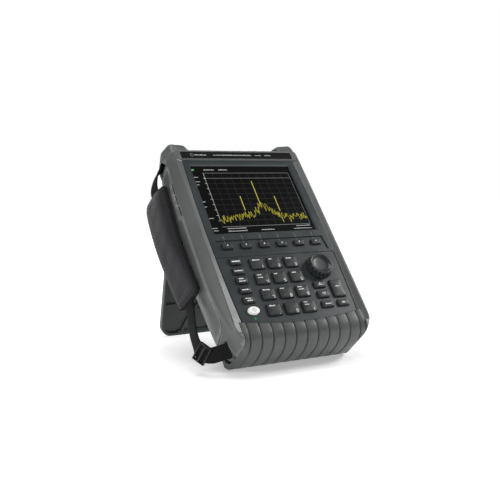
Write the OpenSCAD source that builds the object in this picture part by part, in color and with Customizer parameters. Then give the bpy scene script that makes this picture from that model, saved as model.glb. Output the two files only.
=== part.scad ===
/* [Posture] */
// how far the instrument leans back on its stand, degrees
lean = 41.6; // [20:0.1:60]

/* [Body] */
// height of the top edge above the display centre
top_z = 76; // [70:1:85]
// depth of the body from display face to flat back
back_y = 62; // [50:1:70]
// wall thickness of the mouldings
wall = 3; // [2:0.5:4]

/* [Display] */
// visible width of the display
lcd_w = 133; // [120:0.5:140]
// visible height of the display
lcd_h = 99.8; // [90:0.1:105]
// depth of the display below the bezel face
lcd_in = 2; // [1:0.1:4]

/* [Keys] */
// travel of each key
key_travel = 1.2; // [0.8:0.1:2]
// how far the keys stand above the panel
key_out = 2.8; // [1.5:0.1:4]
// gap round each key in its hole
key_gap = 0.4; // [0.2:0.05:0.8]

/* [Knob] */
// radius of the knob
knob_r = 15; // [12:0.5:18]
// height of the knob above the panel
knob_h = 9; // [6:0.5:12]

/* [Stand] */
// height of the stand hinge above the display centre
hinge_z = 18; // [0:1:40]
// distance from the hinge to the bottom of the foot
stand_len = 152.8; // [130:1:170]
// half width of the stand
stand_half = 83; // [60:1:88]

/* [Strap] */
// width of the padded grip
pad_w = 46; // [40:1:60]
// thickness of the padded grip
pad_t = 7; // [5:0.5:12]
// width of the webbing
web_w = 17; // [15:1:25]

/* [Hidden] */

zc = -60;
// middle of the flat foot of the bumper, which stands on the floor
floor_y = 60.25;
function floor_at(y) = -190.6 + (y - 55) * tan(lean);
floor_z = floor_at(floor_y);
hinge_y = 66.8;
foot_r = 3.2;
sL = sin(lean);
cL = cos(lean);
oy = floor_y * cL + floor_z * sL;
oz = -floor_y * sL + floor_z * cL;
hy = hinge_y * cL + hinge_z * sL - oy;
hz = -hinge_y * sL + hinge_z * cL - oz;
tilt = acos((hz - foot_r) / (stand_len - foot_r));
arc_r = 447;
arc_z = -171 + arc_r;
knob_x = 46;
knob_z = -105;

// half width of the body at its widest, against height
side_tab = [[-196, 60], [-195, 66], [-192, 72.5], [-187, 78.5], [-180, 83.6], [-171, 87],
  [-160, 88.8], [-147, 90.2], [-128, 91.8], [-110, 93], [-93, 94], [-61, 94.5], [-30, 94.7],
  [0, 94.2], [18, 93.5], [34, 92.5], [51, 91.1], [66, 89.8], [72, 88], [75, 85], [top_z, 81]];
// rows of y, widest x kept, side inset, top inset, bottom inset
rows = [[-2, 83.3, 1.6, 4.4, 4], [-0.5, 85, 1.2, 2.4, 2.2], [2, 87.6, 0.8, 1, 1], [5.5, 90.8, 0.3, 0.2, 0.3],
  [9, 93.2, 0, 0, 0], [13, 94.5, 0, 0, 0], [28, 99, 0, 0, 0], [36, 99, 0.8, 0.4, 0.3],
  [43, 99, 2.6, 1.6, 1.2], [52, 99, 6.8, 5, 4.2], [58, 99, 11.8, 9.5, 9.4], [back_y, 99, 17.5, 15, 17]];

function zmap(z, dt, db) = z > zc ? zc + (z - zc) * (1 - dt / 136) : zc + (z - zc) * (1 - db / 136);
function ring(r, d) = concat(
  [for (p = side_tab) [max(5, min(p[1] - r[2], r[1]) - d), r[0], zmap(p[0], r[3] + d, r[4] + d)]],
  [for (i = [len(side_tab) - 1:-1:0]) let(p = side_tab[i])
    [-max(5, min(p[1] - r[2], r[1]) - d), r[0], zmap(p[0], r[3] + d, r[4] + d)]]);
function flat(l) = [for (a = l) for (b = a) b];
function pick(a, b) = let(q = [for (r = rows) if (r[0] > a + 0.01 && r[0] < b - 0.01) r])
  concat([at(a)], q, [at(b)]);
function at(y) = [y, lookup(y, [for (r = rows) [r[0], r[1]]]), lookup(y, [for (r = rows) [r[0], r[2]]]),
  lookup(y, [for (r = rows) [r[0], r[3]]]), lookup(y, [for (r = rows) [r[0], r[4]]])];

// a closed solid through rings of equal count, first ring to last
module skin(rs) {
  n = len(rs[0]);
  m = len(rs);
  polyhedron(points = flat(rs), faces = concat(
    [[for (i = [0:n - 1]) i]],
    [for (j = [0:m - 2]) for (i = [0:n - 1]) [j * n + i, (j + 1) * n + i, (j + 1) * n + (i + 1) % n]],
    [for (j = [0:m - 2]) for (i = [0:n - 1]) [j * n + i, (j + 1) * n + (i + 1) % n, j * n + (i + 1) % n]],
    [[for (i = [n - 1:-1:0]) (m - 1) * n + i]]));
}
module body(a, b, d = 0) {
  q = pick(a, b);
  for (j = [0:len(q) - 2]) hull() skin([ring(q[j], d), ring(q[j + 1], d)]);
}
module plate(a, b) translate([0, b, 0]) rotate([90, 0, 0]) linear_extrude(height = b - a) children();
module along(a, b) translate([a, 0, 0]) rotate([90, 0, 90]) linear_extrude(height = b - a) children();
module posed() translate([0, -oy, -oz]) rotate([-lean, 0, 0]) children();
module ycyl(r, a, b, fn = 48) translate([0, b, 0]) rotate([90, 0, 0]) cylinder(r = r, h = b - a, $fn = fn);
module zcyl(r, a, b, fn = 48) translate([0, 0, a]) cylinder(r = r, h = b - a, $fn = fn);
module rsq(w, h, r) offset(r = r, $fn = 24) square([w - 2 * r, h - 2 * r], center = true);

// half width of the dark front panels against height
function pw(v) = 76.7 - 1.4 * (v / 100) - 2.6 * (v / 100) * (v / 100);
vs = [57, 40, 20, 0, -20, -40, -60, -83.3, -100, -120, -140, -160, -178];
module panel2d(hi, lo, d = 0) polygon(concat(
  [for (v = [for (q = vs) if (q <= hi && q >= lo) q]) [pw(v) + d, v]],
  [for (v = [for (i = [len(vs) - 1:-1:0]) if (vs[i] <= hi && vs[i] >= lo) vs[i]]) [-pw(v) - d, v]]));
module dish() {
  k = [57.6, 30, 0, -30, -60, -90, -120, -150, -176];
  a = concat([for (v = k) [pw(v) + 0.4, 0.4, v]], [for (i = [len(k) - 1:-1:0]) [-pw(k[i]) - 0.4, 0.4, k[i]]]);
  b = concat([for (v = k) [83.2, -2.3, v + (v > 50 ? 0.8 : 0)]],
    [for (i = [len(k) - 1:-1:0]) [-83.2, -2.3, k[i] + (k[i] > 50 ? 0.8 : 0)]]);
  skin([b, a]);
}

// bumper section, y and z, outside then inside
bump_out = [[-1.2, -160], [-1.6, -174], [-0.8, -180], [1.8, -185.6], [7, -190.4], [14, -193.6], [23, -195.2],
  [33, -195.4], [43, -194], [51, -191.6], [57.5, floor_at(57.5)], [63, floor_at(63)], [63.6, -181], [63.4, -176]];
bump_in = [[57.2, -176], [55.6, -180.6], [48, -186.6], [40, -188.4], [26, -189], [13, -187.4], [6.4, -184],
  [3.6, -179], [3.6, -160]];
module bump_solid(k = 0) offset(delta = -k) polygon(concat(bump_out, [[63.4, -150], [-1.2, -150]]));
module core2d(k = 0) offset(delta = k) polygon(concat(bump_in, [[3.6, -150], [57.2, -150]]));
module outline2d() polygon(concat([for (p = side_tab) [p[1], p[0]]],
  [for (i = [len(side_tab) - 1:-1:0]) [-side_tab[i][1], side_tab[i][0]]]));
module under_arc(g) difference() {
  translate([-100, -20, -210]) cube([200, 26, 60]);
  translate([0, 0, arc_z]) ycyl(arc_r + g, -30, 30, 180);
}
module bump_zone(g) {
  intersection() {
    along(-76 - g, 76 + g) difference() {
      translate([-20, -215]) square([100, 44.2 + g]);
      core2d(-g);
    }
    translate([-100, 4 - g, -220]) cube([200, 90, 200]);
  }
  intersection() {
    along(-76 - g, 76 + g) difference() {
      translate([-20, -215]) square([100, 60]);
      core2d(-g);
    }
    under_arc(0.3 - g);
  }
}

// the side cover and the port flaps, seen from the left
cover2d = [[10, 57], [10, -150], [11.5, -156], [16, -161.5], [24, -165], [36, -166.5], [46, -166.5],
  [50, -162], [50, 52], [46, 57]];
flap_z = [[13.9, 29.7], [-1.1, 12.5], [-17.1, -3.7]];
flap_y = 16.5;
module flap_zone(i, g) along(-110, -80) translate([10 - g, flap_z[i][0] - g])
  square([flap_y - 10 + 2 * g, flap_z[i][1] - flap_z[i][0] + 2 * g]);
module cover_zone(g) along(-110, -80) offset(delta = g) polygon(cover2d);
door2d = [[12, -33], [12, -150], [16, -156], [24, -159], [44, -159], [48, -156], [48, -33]];
module door_zone(g) along(80, 110) offset(delta = g) polygon(door2d);

module ear(s) hull() for (q = [[63, 1.5, 70, 3.2], [83, 3, 69, 4], [67, 6, 81.5, 5], [80, 7, 81, 7], [60, 26, 87, 5],
    [79, 24, 87, 8], [60, 44, 83, 5], [77, 44, 82, 8], [87, 20, 69, 7], [85, 34, 62, 6]])
  translate([s * q[0], q[1] + 1, q[2]]) sphere(r = q[3], $fn = 24);
module anchor_cuts() {
  translate([-87, 28.6, 70.8]) rotate([0, -37, 0]) cube([24, 22.5, 5], center = true);
  translate([-98, 28.6, 64]) rotate([0, -37, 0]) cube([16, 27, 13], center = true);
  translate([-84, 27.5, -181]) rotate([-51.5, 0, -24]) cube([22, 23, 6], center = true);
  translate([-96, 33.5, -180]) rotate([-51.5, 0, -24]) cube([18, 27, 14], center = true);
}

// ---- castings ----
module front_housing() color([0.36, 0.37, 0.36]) posed() difference() {
  union() {
    difference() {
      body(-2, 30);
      body(7, 30.6, wall);
      difference() {
        body(-2.2, 8, wall);
        plate(-3, 4) panel2d(57, -178, 60);
        translate([-120, -5, 58]) cube([240, 14, 40]);
        translate([-120, -5, -220]) cube([240, 14, 45]);
        plate(-3, 9) difference() {
          translate([-120, -230]) square([240, 330]);
          panel2d(57, -178, -4);
        }
      }
    }
    intersection() {
      body(3.4, 30);
      along(-79, 79) difference() {
        core2d(0);
        core2d(-wall);
        translate([-10, -166]) square([80, 40]);
      }
    }
    for (s = [-1, 1]) intersection() {
      body(2, 30);
      translate([s * 78.4 - 1.5, 0, -200]) cube([3, 30, 26]);
    }
  }
  plate(-3, 4.02) panel2d(57, -178, 0.3);
  dish();
  translate([0, -2.4, 64.4]) plate(0, 1.2) rsq(151, 10.8, 1.6);
  bump_zone(0.25);
  intersection() {
    cover_zone(0.35);
    difference() {
      body(8, 30.6, -2);
      body(7, 30.8, 2.1);
    }
  }
  intersection() {
    door_zone(0.35);
    difference() {
      body(8, 30.6, -2);
      body(7, 30.8, 2.1);
    }
  }
  intersection() {
    for (i = [0:2]) flap_zone(i, 0.6);
    difference() {
      body(8, 30.6, -2);
      body(7, 30.8, 2.5);
    }
  }
  for (i = [0:2]) along(-100, -80) translate([11, flap_z[i][0] + 1.4])
    square([5, flap_z[i][1] - flap_z[i][0] - 2.8]);
  along(80, 100) translate([15, -152]) square([16, 115]);
  translate([-66, 12, 74]) cube([132, 30, 8]);
  for (x = [-36, 36]) translate([x, 28, 60]) zcyl(9, 0, 30);
  for (x = [-12, 2, 16]) translate([x, 32, 60]) zcyl(2.9, 0, 30);
  anchor_cuts();
}

module rear_housing() color([0.34, 0.35, 0.345]) posed() difference() {
  union() {
    difference() {
      body(30.2, back_y);
      body(29.8, back_y - wall, wall);
    }
    intersection() {
      body(30.2, back_y - 0.2);
      along(-79, 79) difference() {
        core2d(0);
        core2d(-wall);
      }
    }
    for (s = [-1, 1]) intersection() {
      body(30.2, back_y - 0.2);
      translate([s * 78.4 - 1.5, 30.2, -200]) cube([3, 32, 26]);
    }
    for (x = [-64, 64], z = [48, -156]) translate([x, 0, z]) ycyl(5, 33, back_y - 1);
    for (x = [-50, 30], z = [20, -120]) translate([x, 0, z]) ycyl(4, 37.6, back_y - 1);
    for (s = [-1, 1]) for (x = [22, 62]) along(s * x - 3, s * x + 3) hull() {
      translate([back_y - 1, hinge_z - 9]) square([1, 18]);
      translate([hinge_y, hinge_z]) circle(r = 4, $fn = 48);
    }
  }
  bump_zone(0.25);
  for (s = [-1, 1]) for (x = [22, 62]) translate([s * x, hinge_y, hinge_z]) rotate([0, 90, 0])
    cylinder(r = 2.02, h = 8, center = true, $fn = 48);
  for (x = [-64, 64], z = [48, -156]) translate([x, 0, z]) {
    ycyl(1.63, 32, 58);
    ycyl(3.6, 57.5, 70);
  }
  intersection() {
    cover_zone(0.35);
    difference() {
      body(29, 60, -2);
      body(29, 60, 2.1);
    }
  }
  intersection() {
    door_zone(0.35);
    difference() {
      body(29, 60, -2);
      body(29, 60, 2.1);
    }
  }
  along(78, 100) translate([29, -152]) square([12, 115]);
  translate([-66, 12, 74]) cube([132, 30, 8]);
  for (x = [-36, 36]) translate([x, 28, 60]) zcyl(9, 0, 30);
  for (x = [-12, 2, 16]) translate([x, 32, 60]) zcyl(2.9, 0, 30);
  anchor_cuts();
}

module corner_guards() color([0.35, 0.36, 0.355]) posed() for (s = [-1, 1]) difference() {
  ear(s);
  body(-4, back_y + 2, -0.03);
  translate([-66, 12, 74]) cube([132, 30, 30]);
  anchor_cuts();
}

module bottom_bumper() color([0.33, 0.34, 0.335]) posed() difference() {
  intersection() {
    union() {
      intersection() {
        along(-76, 76) difference() {
          bump_solid();
          core2d(0);
          translate([-10, -171]) square([80, 40]);
        }
        translate([-100, 4, -220]) cube([200, 90, 200]);
      }
      intersection() {
        along(-76, 76) difference() {
          bump_solid();
          core2d(0);
        }
        under_arc(0.35);
      }
    }
    plate(-30, 80) outline2d();
  }
  for (i = [-5:5]) along(i * 13.7 - 1, i * 13.7 + 1) difference() {
    offset(delta = 3) bump_solid();
    bump_solid(1.3);
    translate([55.5, -230]) square([40, 60]);
  }
}

// ---- display side ----
module screen_bezel() color([0.22, 0.235, 0.245]) posed() difference() {
  plate(0, 4) panel2d(57, -83.3);
  hull() {
    plate(-0.1, 0) square([lcd_w + 3.4, lcd_h + 3.4], center = true);
    plate(lcd_in, lcd_in + 0.1) square([lcd_w, lcd_h], center = true);
  }
  plate(lcd_in - 0.05, 5) rsq(lcd_w + 5, lcd_h + 5, 1);
  plate(-1, 1.2) polygon([[-69.5, -60.6], [69.5, -60.6], [71.6, -79.4], [-71.6, -79.4]]);
  for (i = [0:5]) translate([(i - 2.5) * 23, 0, -68.9]) plate(-1, 5) rsq(13 + 2 * key_gap, 7.6 + 2 * key_gap, 1.6);
}

module screen_window() color([0.06, 0.07, 0.065, 0.9]) posed()
  plate(lcd_in, lcd_in + 1.2) rsq(lcd_w + 4.6, lcd_h + 4.6, 0.9);

module display_module() color([0.2, 0.2, 0.21]) posed() {
  plate(lcd_in + 1.2, 9) rsq(lcd_w + 4.4, lcd_h + 4.4, 1.5);
  translate([0, 0, -2]) plate(9, 10.5) rsq(90, 60, 2);
}

module name_plate() color([0.03, 0.03, 0.035]) posed() translate([0, -2.25, 64.4]) plate(0, 1) rsq(150.4, 10.2, 1.4);

// ---- keypad ----
num_x = [-30.6, -9, 12.6];
num_z = [-95, -114.6, -134.3, -154];
fun_z = [-90.4, -102.7, -114.9, -127, -139.3];
// name order: place, width, height of each panel key
key_list = concat(
  [for (z = fun_z) [-55.8, z, 14, 8.6]],
  [for (z = num_z) for (x = num_x) [x, z, 16.6, 14.6]],
  [[36.8, -128, 15, 9], [36.6, -141, 15, 9], [57.8, -134.9, 15.5, 22.6],
    [36.8, -153.8, 15, 8.6], [57.4, -153.8, 15, 8.6]]);

module keypad_panel() color([0.225, 0.24, 0.25]) posed() difference() {
  intersection() {
    plate(0, 3) panel2d(-83.3, -178);
    translate([0, 0, arc_z]) ycyl(arc_r, -5, 10, 180);
    translate([-100, -5, -200]) cube([200, 20, 116.2]);
  }
  for (k = key_list) translate([k[0], 0, k[1]]) plate(-1, 4) rsq(k[2] + 2 * key_gap, k[3] + 2 * key_gap, 2.2);
  translate([-54.8, 0, -152.6]) scale([1, 1, 0.72]) ycyl(7.2, -1, 4);
  translate([knob_x, 0, knob_z]) ycyl(3.6, -1, 4);
  translate([-55.6, 0, -161.6]) ycyl(1.25, -1, 4, 32);
}

module key_board() color([0.05, 0.25, 0.12]) posed() {
  plate(6, 7.6) difference() {
    union() {
      translate([0, -118]) square([138, 78], center = true);
      translate([0, -69.5]) square([138, 22], center = true);
    }
    translate([knob_x, knob_z]) square([16, 16], center = true);
  }
  for (k = key_list) translate([k[0], 0, k[1]]) ycyl(2.4, 5.15, 6, 24);
  for (i = [0:5]) translate([(i - 2.5) * 23, 0, -68.9]) ycyl(2, 5.9, 6, 24);
  translate([-54.8, 0, -152.6]) ycyl(2.4, 5.15, 6, 24);
  for (x = [-66, 24.9], z = [-90, -146]) translate([x, 0, z]) ycyl(1.6, 3, 6, 24);
}

// one key: cap above the panel, stem through it, flange behind it
module keycap(w, h, r, t = 3) {
  hull() {
    plate(-key_out + 1, t + 0.5) rsq(w, h, r);
    plate(-key_out, -key_out + 0.01) rsq(w - 1.6, h - 1.6, r * 0.8);
  }
  plate(t + 0.05, t + 0.8) square([w + 1.8, h + 1.8], center = true);
}
module panel_key(i) posed() translate([key_list[i][0], 0, key_list[i][1]])
  keycap(key_list[i][2], key_list[i][3], 2);
module softkey(i) color([0.12, 0.125, 0.13]) posed() translate([(i - 2.5) * 23, 0, -68.9]) {
  hull() {
    plate(-0.6, 4.3) rsq(13, 7.6, 1.4);
    plate(-1.6, -1.59) rsq(11.4, 6, 1.2);
  }
  plate(4.05, 4.6) square([14.6, 9.2], center = true);
}
module softkey_1() softkey(0);
module softkey_2() softkey(1);
module softkey_3() softkey(2);
module softkey_4() softkey(3);
module softkey_5() softkey(4);
module softkey_6() softkey(5);
module function_key_1() color([0.12, 0.125, 0.13]) panel_key(0);
module function_key_2() color([0.12, 0.125, 0.13]) panel_key(1);
module function_key_3() color([0.12, 0.125, 0.13]) panel_key(2);
module function_key_4() color([0.12, 0.125, 0.13]) panel_key(3);
module function_key_5() color([0.12, 0.125, 0.13]) panel_key(4);
module key_1() color([0.12, 0.125, 0.13]) panel_key(5);
module key_2() color([0.12, 0.125, 0.13]) panel_key(6);
module key_3() color([0.12, 0.125, 0.13]) panel_key(7);
module key_4() color([0.12, 0.125, 0.13]) panel_key(8);
module key_5() color([0.12, 0.125, 0.13]) panel_key(9);
module key_6() color([0.12, 0.125, 0.13]) panel_key(10);
module key_7() color([0.12, 0.125, 0.13]) panel_key(11);
module key_8() color([0.12, 0.125, 0.13]) panel_key(12);
module key_9() color([0.12, 0.125, 0.13]) panel_key(13);
module key_point() color([0.12, 0.125, 0.13]) panel_key(14);
module key_0() color([0.12, 0.125, 0.13]) panel_key(15);
module key_sign() color([0.12, 0.125, 0.13]) panel_key(16);
module arrow_up_key() color([0.12, 0.125, 0.13]) panel_key(17);
module arrow_down_key() color([0.12, 0.125, 0.13]) panel_key(18);
module enter_key() color([0.12, 0.125, 0.13]) panel_key(19);
module back_key() color([0.12, 0.125, 0.13]) panel_key(20);
module mark_key() color([0.12, 0.125, 0.13]) panel_key(21);

module power_key() color([0.9, 0.9, 0.88]) posed() translate([-54.8, 0, -152.6]) scale([1, 1, 0.71]) {
  ycyl(6.8, -2, 3.05);
  translate([0, -2, 0]) rotate([90, 0, 0]) cylinder(r1 = 6.8, r2 = 6, h = 0.9, $fn = 48);
  ycyl(7.7, 3.05, 3.8);
}

module knob() color([0.13, 0.135, 0.14]) posed() translate([knob_x, 0, knob_z]) difference() {
  union() {
    translate([0, -0.6, 0]) rotate([90, 0, 0]) rotate_extrude($fn = 72) polygon([[0, 0], [knob_r, 0],
      [knob_r, 1], [knob_r - 0.6, knob_h - 2.4], [knob_r - 1.6, knob_h - 0.9], [knob_r - 2.8, knob_h - 0.6],
      [knob_r - 4.4, knob_h - 1.3], [knob_r - 5.6, knob_h - 2.4], [0, knob_h - 2.9]]);
  }
  for (i = [0:17]) rotate([0, i * 20, 0]) translate([knob_r + 0.9, 0, 0]) ycyl(1.7, -knob_h + 0.2, -1.8, 20);
  ycyl(3.05, -4.4, 0);
}

module knob_encoder() color([0.6, 0.6, 0.62]) posed() translate([knob_x, 0, knob_z]) {
  ycyl(3, -4.2, 8);
  translate([-7, 8, -7]) cube([14, 6, 14]);
  ycyl(3.55, 0.2, 3);
}

module power_led() color([0.1, 0.8, 0.25]) posed() translate([-55.6, 0, -161.6]) {
  ycyl(1.2, -0.3, 4, 32);
  ycyl(1.8, 4, 6, 32);
}

// ---- top connectors ----
module connector_panel() color([0.12, 0.125, 0.13]) posed() difference() {
  translate([-65.7, 12.3, 74.02]) cube([131.4, 29.4, 2.4]);
  for (x = [-36, 36]) translate([x, 28, 0]) zcyl(5.2, 70, 80);
  for (x = [-12, 2, 16]) translate([x, 32, 0]) zcyl(2.6, 70, 80);
}
module rf_ports() color([0.78, 0.76, 0.7]) posed() for (x = [-36, 36]) translate([x, 28, 0]) difference() {
  union() {
    translate([-9.5, -9.5, 76.42]) cube([19, 19, 1.8]);
    zcyl(7.94, 78.22, 89);
    zcyl(5.1, 60, 76.42);
  }
  zcyl(4.1, 80, 90);
}
module sma_jacks() color([0.75, 0.6, 0.3]) posed() for (x = [-12, 2, 16]) translate([x, 32, 0]) difference() {
  union() {
    translate([0, 0, 76.42]) cylinder(r = 4.6, h = 2, $fn = 6);
    zcyl(3.17, 78.42, 86);
    zcyl(2.5, 66, 76.42);
  }
  zcyl(2.1, 80, 87);
}

// ---- left side ----
module cover_skin(z0 = 0) intersection() {
  children();
  difference() {
    body(8, 60);
    body(7, 61, 1.8);
  }
}
module side_cover() color([0.35, 0.36, 0.355]) posed() difference() {
  cover_skin() cover_zone(0);
  for (i = [0:2]) flap_zone(i, 0.3);
}
module flap(i) color([0.37, 0.38, 0.37]) posed() difference() {
  cover_skin() flap_zone(i, 0);
  translate([-96, 9.4, (flap_z[i][0] + flap_z[i][1]) / 2 - 4.2]) cube([6, 1.6, 8.4]);
}
module port_flap_1() flap(0);
module port_flap_2() flap(1);
module port_flap_3() flap(2);
module io_jacks() color([0.55, 0.56, 0.58]) posed() for (i = [0:2])
  translate([-90.3, 11.2, (flap_z[i][0] + flap_z[i][1]) / 2 - 5]) difference() {
    cube([12, 4.6, 10]);
    translate([-1, 1, 1]) cube([8, 2.6, 8]);
  }

// ---- right side ----
module battery_door() color([0.35, 0.36, 0.355]) posed() cover_skin() door_zone(0);
module battery_pack() color([0.1, 0.1, 0.11]) posed() translate([42, 20, -147]) cube([32, 36, 107]);

// ---- inside ----
module main_board() color([0.05, 0.25, 0.12]) posed() translate([0, 0, -50])
  plate(36, 37.6) translate([-22, -1.5]) square([108, 187], center = true);
module rf_module() color([0.7, 0.71, 0.72]) posed() {
  translate([-44, 37.6, 0]) cube([64, 15, 60]);
  translate([-58, 24, -60]) cube([50, 12, 50]);
}

// ---- stand ----
module stand_flat() {
  a = stand_half;
  b = stand_len;
  difference() {
    union() {
      plate(-0.4, 2.6) stand2d(0);
      plate(-3.8, 3.6) difference() {
        stand2d(0);
        stand2d(-3.4);
      }
      for (s = [-1, 1]) for (k = [-26, 26]) plate(-3, 0) intersection() {
        stand2d(-1);
        translate([s * 62 + k * 0.4, -b - 40]) difference() {
          circle(r = 110 + k, $fn = 96);
          circle(r = 107.4 + k, $fn = 96);
        }
      }
      for (s = [-1, 1]) along(s * 42 - 15, s * 42 + 15) union() {
        circle(r = 4, $fn = 48);
        translate([-3.4, -14]) square([6, 14]);
      }
    }
    translate([-70, 0, 0]) rotate([0, 90, 0]) cylinder(r = 2.06, h = 140, $fn = 48);
  }
}
module stand2d(d) offset(r = d) hull() {
  translate([-stand_half, -12.6]) square([2 * stand_half, 1]);
  for (s = [-1, 1]) translate([s * (stand_half - 14), -stand_len + 14]) circle(r = 14, $fn = 32);
}
module stand() color([0.13, 0.15, 0.15]) translate([0, hy, hz]) rotate([tilt, 0, 0]) {
  stand_flat();
  translate([-60, -0.1, -stand_len + foot_r]) rotate([0, 90, 0]) cylinder(r = foot_r, h = 120, $fn = 48);
}
module stand_pins() color([0.7, 0.7, 0.7]) posed() for (s = [-1, 1]) translate([s * 42, hinge_y, hinge_z])
  rotate([0, 90, 0]) cylinder(r = 2, h = 45.8, center = true, $fn = 48);

module housing_screws() color([0.6, 0.6, 0.6]) posed() for (x = [-64, 64], z = [48, -156])
  translate([x, 0, z]) difference() {
    union() {
      ycyl(1.6, 40, 57.6);
      ycyl(3.3, 57.6, 59.8, 48);
    }
    translate([0, 60, 0]) rotate([90, 0, 0]) cylinder(r = 1.2, h = 2, $fn = 6);
  }

// ---- hand strap ----
// a flat band through centre points: x, y, z, then the way its width runs there
function unit(v) = v / norm(v);
function tang(p, i) = let(a = p[max(0, i - 1)], b = p[min(len(p) - 1, i + 1)])
  unit([b[0] - a[0], b[1] - a[1], b[2] - a[2]]);
function side(q, T) = let(w = [q[3], q[4], q[5]]) unit(w - (w * T) * T);
function band(p, w, t) = [for (i = [0:len(p) - 1]) let(q = p[i], c = [q[0], q[1], q[2]], T = tang(p, i),
  W = side(q, T), N = cross(T, W)) [c - w * W - t * N, c + w * W - t * N, c + w * W + t * N, c - w * W + t * N]];
web_top = [[-101.8, 41, 33, -0.165, 0.986, 0], [-102.4, 40, 44, -0.16, 0.98, 0], [-100.4, 36.5, 54, -0.1, 0.98, 0],
  [-95.5, 32, 64, 0, 0.98, 0.1], [-88, 29, 70, 0, 0.99, 0.1], [-80, 28, 75.5, 0, 1, 0]];
web_low = [[-101.8, 41, -106, -0.165, 0.986, 0], [-103.8, 41, -122, -0.16, 0.98, 0],
  [-107, 41, -138, -0.15, 0.97, -0.15], [-109, 40.5, -152, -0.1, 0.9, -0.4], [-108.8, 40.5, -164, 0, 0.75, -0.66],
  [-106, 41, -173.5, 0, 0.66, -0.75], [-99, 37, -179, 0, 0.64, -0.77], [-91, 31, -180.5, 0, 0.62, -0.78],
  [-81, 26, -181, 0, 0.62, -0.78]];
module strap_webbing() color([0.04, 0.04, 0.045]) posed() {
  skin(band(web_top, web_w / 2, 1));
  skin(band(web_low, web_w / 2, 1));
}
pad_turn = 9.5;
function pad_at(a, b, z) = let(bow = 1 - pow((z + 39) / 78, 2), xi = -105 - 3.6 * bow + pad_t)
  [xi - b * cos(pad_turn) - a * sin(pad_turn), 41 + a * cos(pad_turn) - b * sin(pad_turn), z];
function crown(z) = 4.6 * lookup(z, [[-112, 0], [-100, 0.05], [-80, 0.3], [-60, 0.55], [-40, 0.8], [-20, 0.95],
  [10, 1], [24, 0.9], [33, 0.55], [38, 0.2]]);
function pad_ring(z, k) = let(w = pad_w / 2 * k, t = pad_t + crown(z), e = (1 - k) * pad_t) [
  pad_at(-w * 0.9, 0.2 + e, z), pad_at(-w, 1.4 + e, z), pad_at(-w, 4.2 - e, z), pad_at(-w * 0.93, t * 0.82 - e, z),
  pad_at(-w * 0.72, t - 0.5 - e, z), pad_at(-w * 0.25, t - e, z), pad_at(w * 0.25, t - e, z),
  pad_at(w * 0.72, t - 0.5 - e, z), pad_at(w * 0.93, t * 0.82 - e, z), pad_at(w, 4.2 - e, z),
  pad_at(w, 1.4 + e, z), pad_at(w * 0.9, 0.2 + e, z)];
module strap_pad() color([0.16, 0.155, 0.17]) posed() skin([for (q = [[38, 0.9], [37, 0.96], [34, 1], [18, 1],
  [-2, 1], [-22, 1], [-40, 1], [-60, 1], [-80, 1], [-97, 1], [-107, 1], [-111, 0.96], [-112, 0.9]]) pad_ring(q[0], q[1])]);
module strap_buckle() color([0.05, 0.05, 0.05]) posed() {
  T = tang(web_low, 5);
  W = side(web_low[5], T);
  N = cross(W, T);
  c = web_low[5];
  multmatrix([[N[0], W[0], T[0], c[0]], [N[1], W[1], T[1], c[1]], [N[2], W[2], T[2], c[2]]]) difference() {
    translate([-2.2, -10.6, -7.5]) cube([5.2, 21.2, 15]);
    translate([-4, -8.8, -5.5]) cube([10, 17.6, 4]);
    translate([-4, -8.8, 1.5]) cube([10, 17.6, 4]);
    translate([-1.3, -8.8, -12]) cube([2.6, 17.6, 24]);
  }
}

front_housing();
rear_housing();
bottom_bumper();
screen_bezel();
screen_window();
display_module();
name_plate();
keypad_panel();
key_board();
softkey_1();
softkey_2();
softkey_3();
softkey_4();
softkey_5();
softkey_6();
function_key_1();
function_key_2();
function_key_3();
function_key_4();
function_key_5();
key_1();
key_2();
key_3();
key_4();
key_5();
key_6();
key_7();
key_8();
key_9();
key_point();
key_0();
key_sign();
power_key();
arrow_up_key();
arrow_down_key();
enter_key();
back_key();
mark_key();
knob();
knob_encoder();
power_led();
connector_panel();
rf_ports();
sma_jacks();
io_jacks();
port_flap_1();
port_flap_2();
port_flap_3();
side_cover();
battery_door();
battery_pack();
main_board();
rf_module();
stand();
stand_pins();
housing_screws();
strap_pad();
strap_webbing();
strap_buckle();
corner_guards();
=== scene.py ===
import math
from math import cos, radians, sin, sqrt
import random
import bmesh
import bpy
from mathutils import Matrix, Vector


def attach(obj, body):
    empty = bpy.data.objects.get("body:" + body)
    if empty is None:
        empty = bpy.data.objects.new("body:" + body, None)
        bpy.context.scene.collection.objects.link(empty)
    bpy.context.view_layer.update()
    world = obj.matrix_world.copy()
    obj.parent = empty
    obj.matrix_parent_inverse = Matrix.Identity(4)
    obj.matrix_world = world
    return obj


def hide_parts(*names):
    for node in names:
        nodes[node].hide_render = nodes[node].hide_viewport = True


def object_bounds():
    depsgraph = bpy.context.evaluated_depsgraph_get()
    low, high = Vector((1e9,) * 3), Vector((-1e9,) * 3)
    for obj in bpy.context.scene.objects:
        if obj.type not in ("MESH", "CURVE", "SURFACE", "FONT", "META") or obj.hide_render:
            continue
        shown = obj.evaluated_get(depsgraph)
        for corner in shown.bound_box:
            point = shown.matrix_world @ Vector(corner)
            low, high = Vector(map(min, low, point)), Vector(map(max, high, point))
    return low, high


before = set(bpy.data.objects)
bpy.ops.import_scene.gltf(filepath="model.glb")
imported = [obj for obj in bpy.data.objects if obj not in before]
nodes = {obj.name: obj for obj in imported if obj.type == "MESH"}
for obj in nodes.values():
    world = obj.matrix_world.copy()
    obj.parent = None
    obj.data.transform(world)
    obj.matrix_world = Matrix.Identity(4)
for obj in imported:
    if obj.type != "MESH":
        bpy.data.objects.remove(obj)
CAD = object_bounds()

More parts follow.
